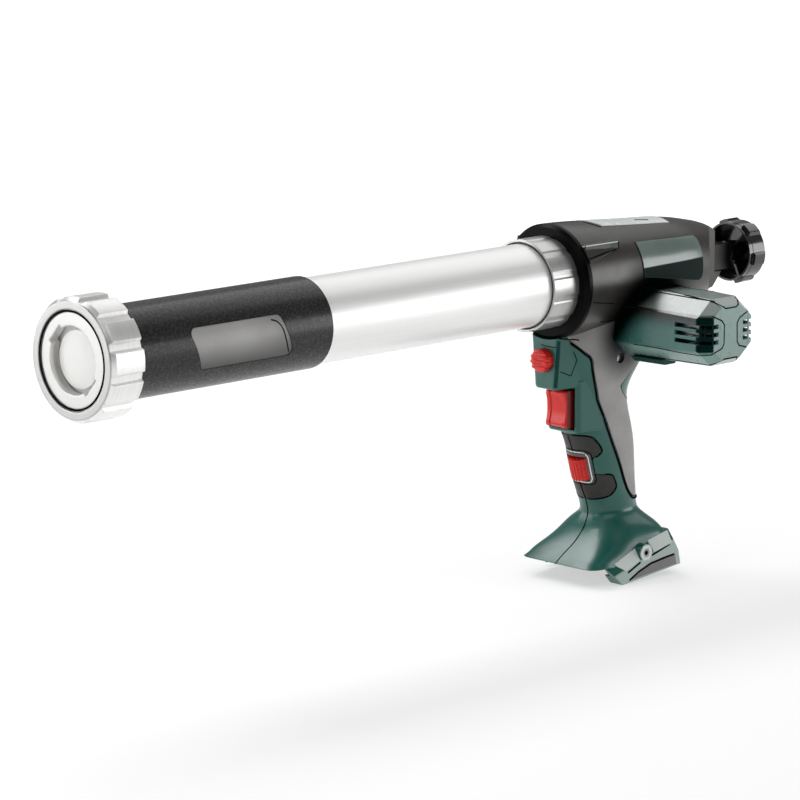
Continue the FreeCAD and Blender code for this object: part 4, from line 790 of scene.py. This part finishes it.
def hook_ring(side, word):
    """A flat six-sided ring round the belt hook's hole."""
    count = hook_ring_sides
    points, faces = [], []
    for y in (hook_y, hook_y + hook_ring_lift):
        for r in (hook_ring_r, hook_ring_hole_r):
            for k in range(count):
                a = math.radians(360 / count * k)
                points.append((hook_x + r * math.cos(a), side * y, hook_z + r * math.sin(a)))
    for k in range(count):
        n = (k + 1) % count
        outer, hole, top, top_hole = [(ring * count + k, ring * count + n) for ring in range(4)]
        faces += [(*outer, *top[::-1]), (hole[0], *top_hole, hole[1]), (*top, *top_hole[::-1])]
    add_piece("hook_ring_" + word, points, faces, "plate_pale", look=foot_finish)


def foot_pieces():
    shell = tree_of(["handle_left", "handle_right"])
    lower = tree_of(["handle_left", "handle_right", "rail_bumpers"])
    for side, word in sides:
        for k, spots in enumerate(foot_pads):
            corners = cheek_path(shell, spots, side)[::-side]
            raised_pad("foot_pad_%s_%d" % (word, k), corners, "plate_pale", foot_finish)
        for k, ends in enumerate(foot_grooves):
            path = cheek_path(shell, dense(ends, groove_steps), side)
            bead("foot_groove_%s_%d" % (word, k), path, bold_half)
        path = cheek_path(lower, dense(bumper_line, groove_steps), side)
        bead("bumper_line_" + word, path, bold_half)
        hook_ring(side, word)


def dial_frame():
    around = tree_of(["dial_bezel", "handle_left", "handle_right", "front_pad_left", "front_pad_right"])
    for name, grow, half, look in (("dial_rim", 0.0, dial_rim_half, rim_finish),
                                   ("dial_groove", dial_groove_gap, fine_half, line_finish)):
        wide, high = dial_rim_y + grow, dial_rim_high + grow
        corners = [(a * wide * u, dial_z + b * high * v) for a, b, turned in dial_turns
                   for u, v in (dial_corner_shares[::-1] if turned else dial_corner_shares)]
        path = front_path(around, dense(corners + corners[:1], dial_steps))
        bead(name, path, half, "bezel_grey", look=look)


def trigger_rails():
    front = tree_of(["trigger"])
    for side, word in sides:
        spots = dense(((side * rail_y, rail_top_z), (side * rail_y, rail_low_z)), rail_steps)
        bead("trigger_rail_" + word, front_path(front, spots), rail_half, "control_red", "trigger",
             finish["control_red"], rail_rise)


def button_ribs():
    front = tree_of(["release_button"])
    for k, (rib_y, rib_z) in enumerate(button_ribs_yz):
        spots = dense(((-rib_y, rib_z), (rib_y, rib_z)), rail_steps)
        bead("button_rib_%d" % k, front_path(front, spots), button_rib_half, "control_red", "release_button",
             finish["control_red"], button_rib_rise)


def wedge_pieces():
    body = tree_of(["housing_left"])
    corners = [photo_hit(body, px, py) for px, py in wedge_face_px]
    raised_pad("wedge_face", corners, "housing_dark", wedge_green)
    # Painted highlight: a pale strip along the wedge rib's top edge
    photo_line("wedge_top", body, wedge_highlight_px, fine_half, False, slot_name="plate_pale", look=foot_finish,
               rise=bold_rise)


def neck_corner():
    # A dark green strip on the neck's rounded corner, painted as its shade
    shell = tree_of(["handle_left", "handle_right"])
    photo_line("neck_corner", shell, neck_corner_px, corner_half, slot_name="shell_green", look=painted_shade_green)


def motor_pieces():
    motor = tree_of(["motor_cover_front", "motor_cover_rear"])
    out, up = Vector((0, -1, 0)), Vector((0, 0, 1))
    for turn, word in ((-1, "near"), (1, "far")):
        x = motor_middle_x + turn * slot_rib_x
        spots = dense(((x, slot_rib_z0), (x, slot_rib_z1)), rib_steps)
        path = [(Vector((x, motor_end_y, z)), out) for x, z in spots]
        bead("slot_rib_" + word, path, slot_rib_half, "shell_green", look=node_finish["motor_cover_rear"])
    spots = dense(((belly_x, belly_y0), (belly_x, belly_y1)), belly_steps)
    path = [hit(motor, Vector((x, y, -cast_from)), up) for x, y in spots]
    # The bulge under the motor takes the painted-shade green
    bead("motor_belly", path, belly_half, "shell_green", look=painted_shade_green, rise=belly_rise)


def ring_path(x, radius):
    turns = [2 * math.pi * k / ring_steps for k in range(ring_steps + 1)]
    return [(Vector((x, radius * math.cos(a), radius * math.sin(a))), Vector((-1, 0, 0))) for a in turns]


def barrel_pieces():
    bead("front_ring", ring_path(front_ring_sunk, front_ring_r), front_ring_half, body="cap_nut")
    sleeve = tree_of(["grip_sleeve", "sleeve_plate"])
    # Dark line at the sleeve plate's rear end: a painted shadow of the recess edge
    photo_line("sleeve_rim", sleeve, sleeve_rim_shadow_px, line_half, body="barrel")


def springs():
    """Each return spring is copied into a steel coil on the tool body, and its part is hidden."""
    for word, joint, travel in spring_joints:
        mesh = nodes[word].data.copy()
        coil = bpy.data.objects.new(word + "_coil", mesh)
        bpy.context.scene.collection.objects.link(coil)
        mesh.materials.clear()
        mesh.materials.append(finish["spring_steel"])
        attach(coil, "tool_body")
        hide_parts(word)
        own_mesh(coil)


joint_lines()
springs()
foot_pieces()
dial_frame()
trigger_rails()
button_ribs()
wedge_pieces()
neck_corner()
motor_pieces()
barrel_pieces()


# Studio: pale paper floor and soft light from large panels
def pale_floor():
    low = cad_box[0].z - floor_gap
    half = floor_size / 2
    mesh = bpy.data.meshes.new("floor")
    mesh.from_pydata([(-half, -half, low), (half, -half, low), (half, half, low), (-half, half, low)],
                     [], [(0, 1, 2, 3)])
    floor = bpy.data.objects.new("floor", mesh)
    bpy.context.scene.collection.objects.link(floor)
    s = Shader("floor_paper")
    s.colour(s.mix(s.noise(*floor_noise), *floor_tones))
    away = s.add("ShaderNodeVectorMath", operation="LENGTH")
    s.link(s.place, away.inputs[0])
    glow = s.span(away.outputs["Value"], floor_glow_start, floor_glow_end, floor_glow_near, floor_glow_far,
                  True)
    s.link(glow, s.surface.inputs["Emission Strength"])
    s.set(Roughness=floor_rough, Emission_Color=white)
    mesh.materials.append(s.material)


def panel(name, direction, distance, width, height, brightness):
    light = bpy.data.lights.new(name, "AREA")
    light.shape = "RECTANGLE"
    light.size = width
    light.size_y = height
    light.energy = brightness * math.pi * width * height
    lamp = bpy.data.objects.new(name, light)
    away = Vector(direction).normalized()
    lamp.location = light_centre + away * distance
    lamp.rotation_mode = "QUATERNION"
    lamp.rotation_quaternion = (-away).to_track_quat("-Z", "Y")
    bpy.context.scene.collection.objects.link(lamp)


def studio():
    world = bpy.data.worlds.new("studio")
    bpy.context.scene.world = world
    world.use_nodes = True
    tree = world.node_tree
    place = tree.nodes.new("ShaderNodeTexCoord")
    facing = tree.nodes.new("ShaderNodeVectorMath")
    facing.operation = "DOT_PRODUCT"
    facing.inputs[1].default_value = sky_dark_side
    fade = tree.nodes.new("ShaderNodeMapRange")
    fade.interpolation_type = "SMOOTHSTEP"
    for key, number in zip(("From Min", "From Max", "To Min", "To Max"), (*sky_fade, sky_bright, sky_dark)):
        fade.inputs[key].default_value = number
    tree.links.new(place.outputs["Generated"], facing.inputs[0])
    tree.links.new(facing.outputs["Value"], fade.inputs["Value"])
    tree.links.new(fade.outputs["Result"], tree.nodes["Background"].inputs["Strength"])
    tree.nodes["Background"].inputs["Color"].default_value = white
    for name, values in panels.items():
        panel(name, *values)


def camera():
    data = bpy.data.cameras.new("photo_camera")
    data.lens = view_lens
    data.sensor_width = view_sensor
    data.shift_x, data.shift_y = view_shift
    data.clip_end = view_far
    cam = bpy.data.objects.new("photo_camera", data)
    turn = Matrix((right_axis, up_axis, back_axis)).transposed().to_4x4()
    cam.matrix_world = Matrix.Translation(camera_place) @ turn
    bpy.context.scene.collection.objects.link(cam)
    bpy.context.scene.camera = cam


pale_floor()
studio()
camera()
bpy.context.scene.view_settings.view_transform = "Standard"
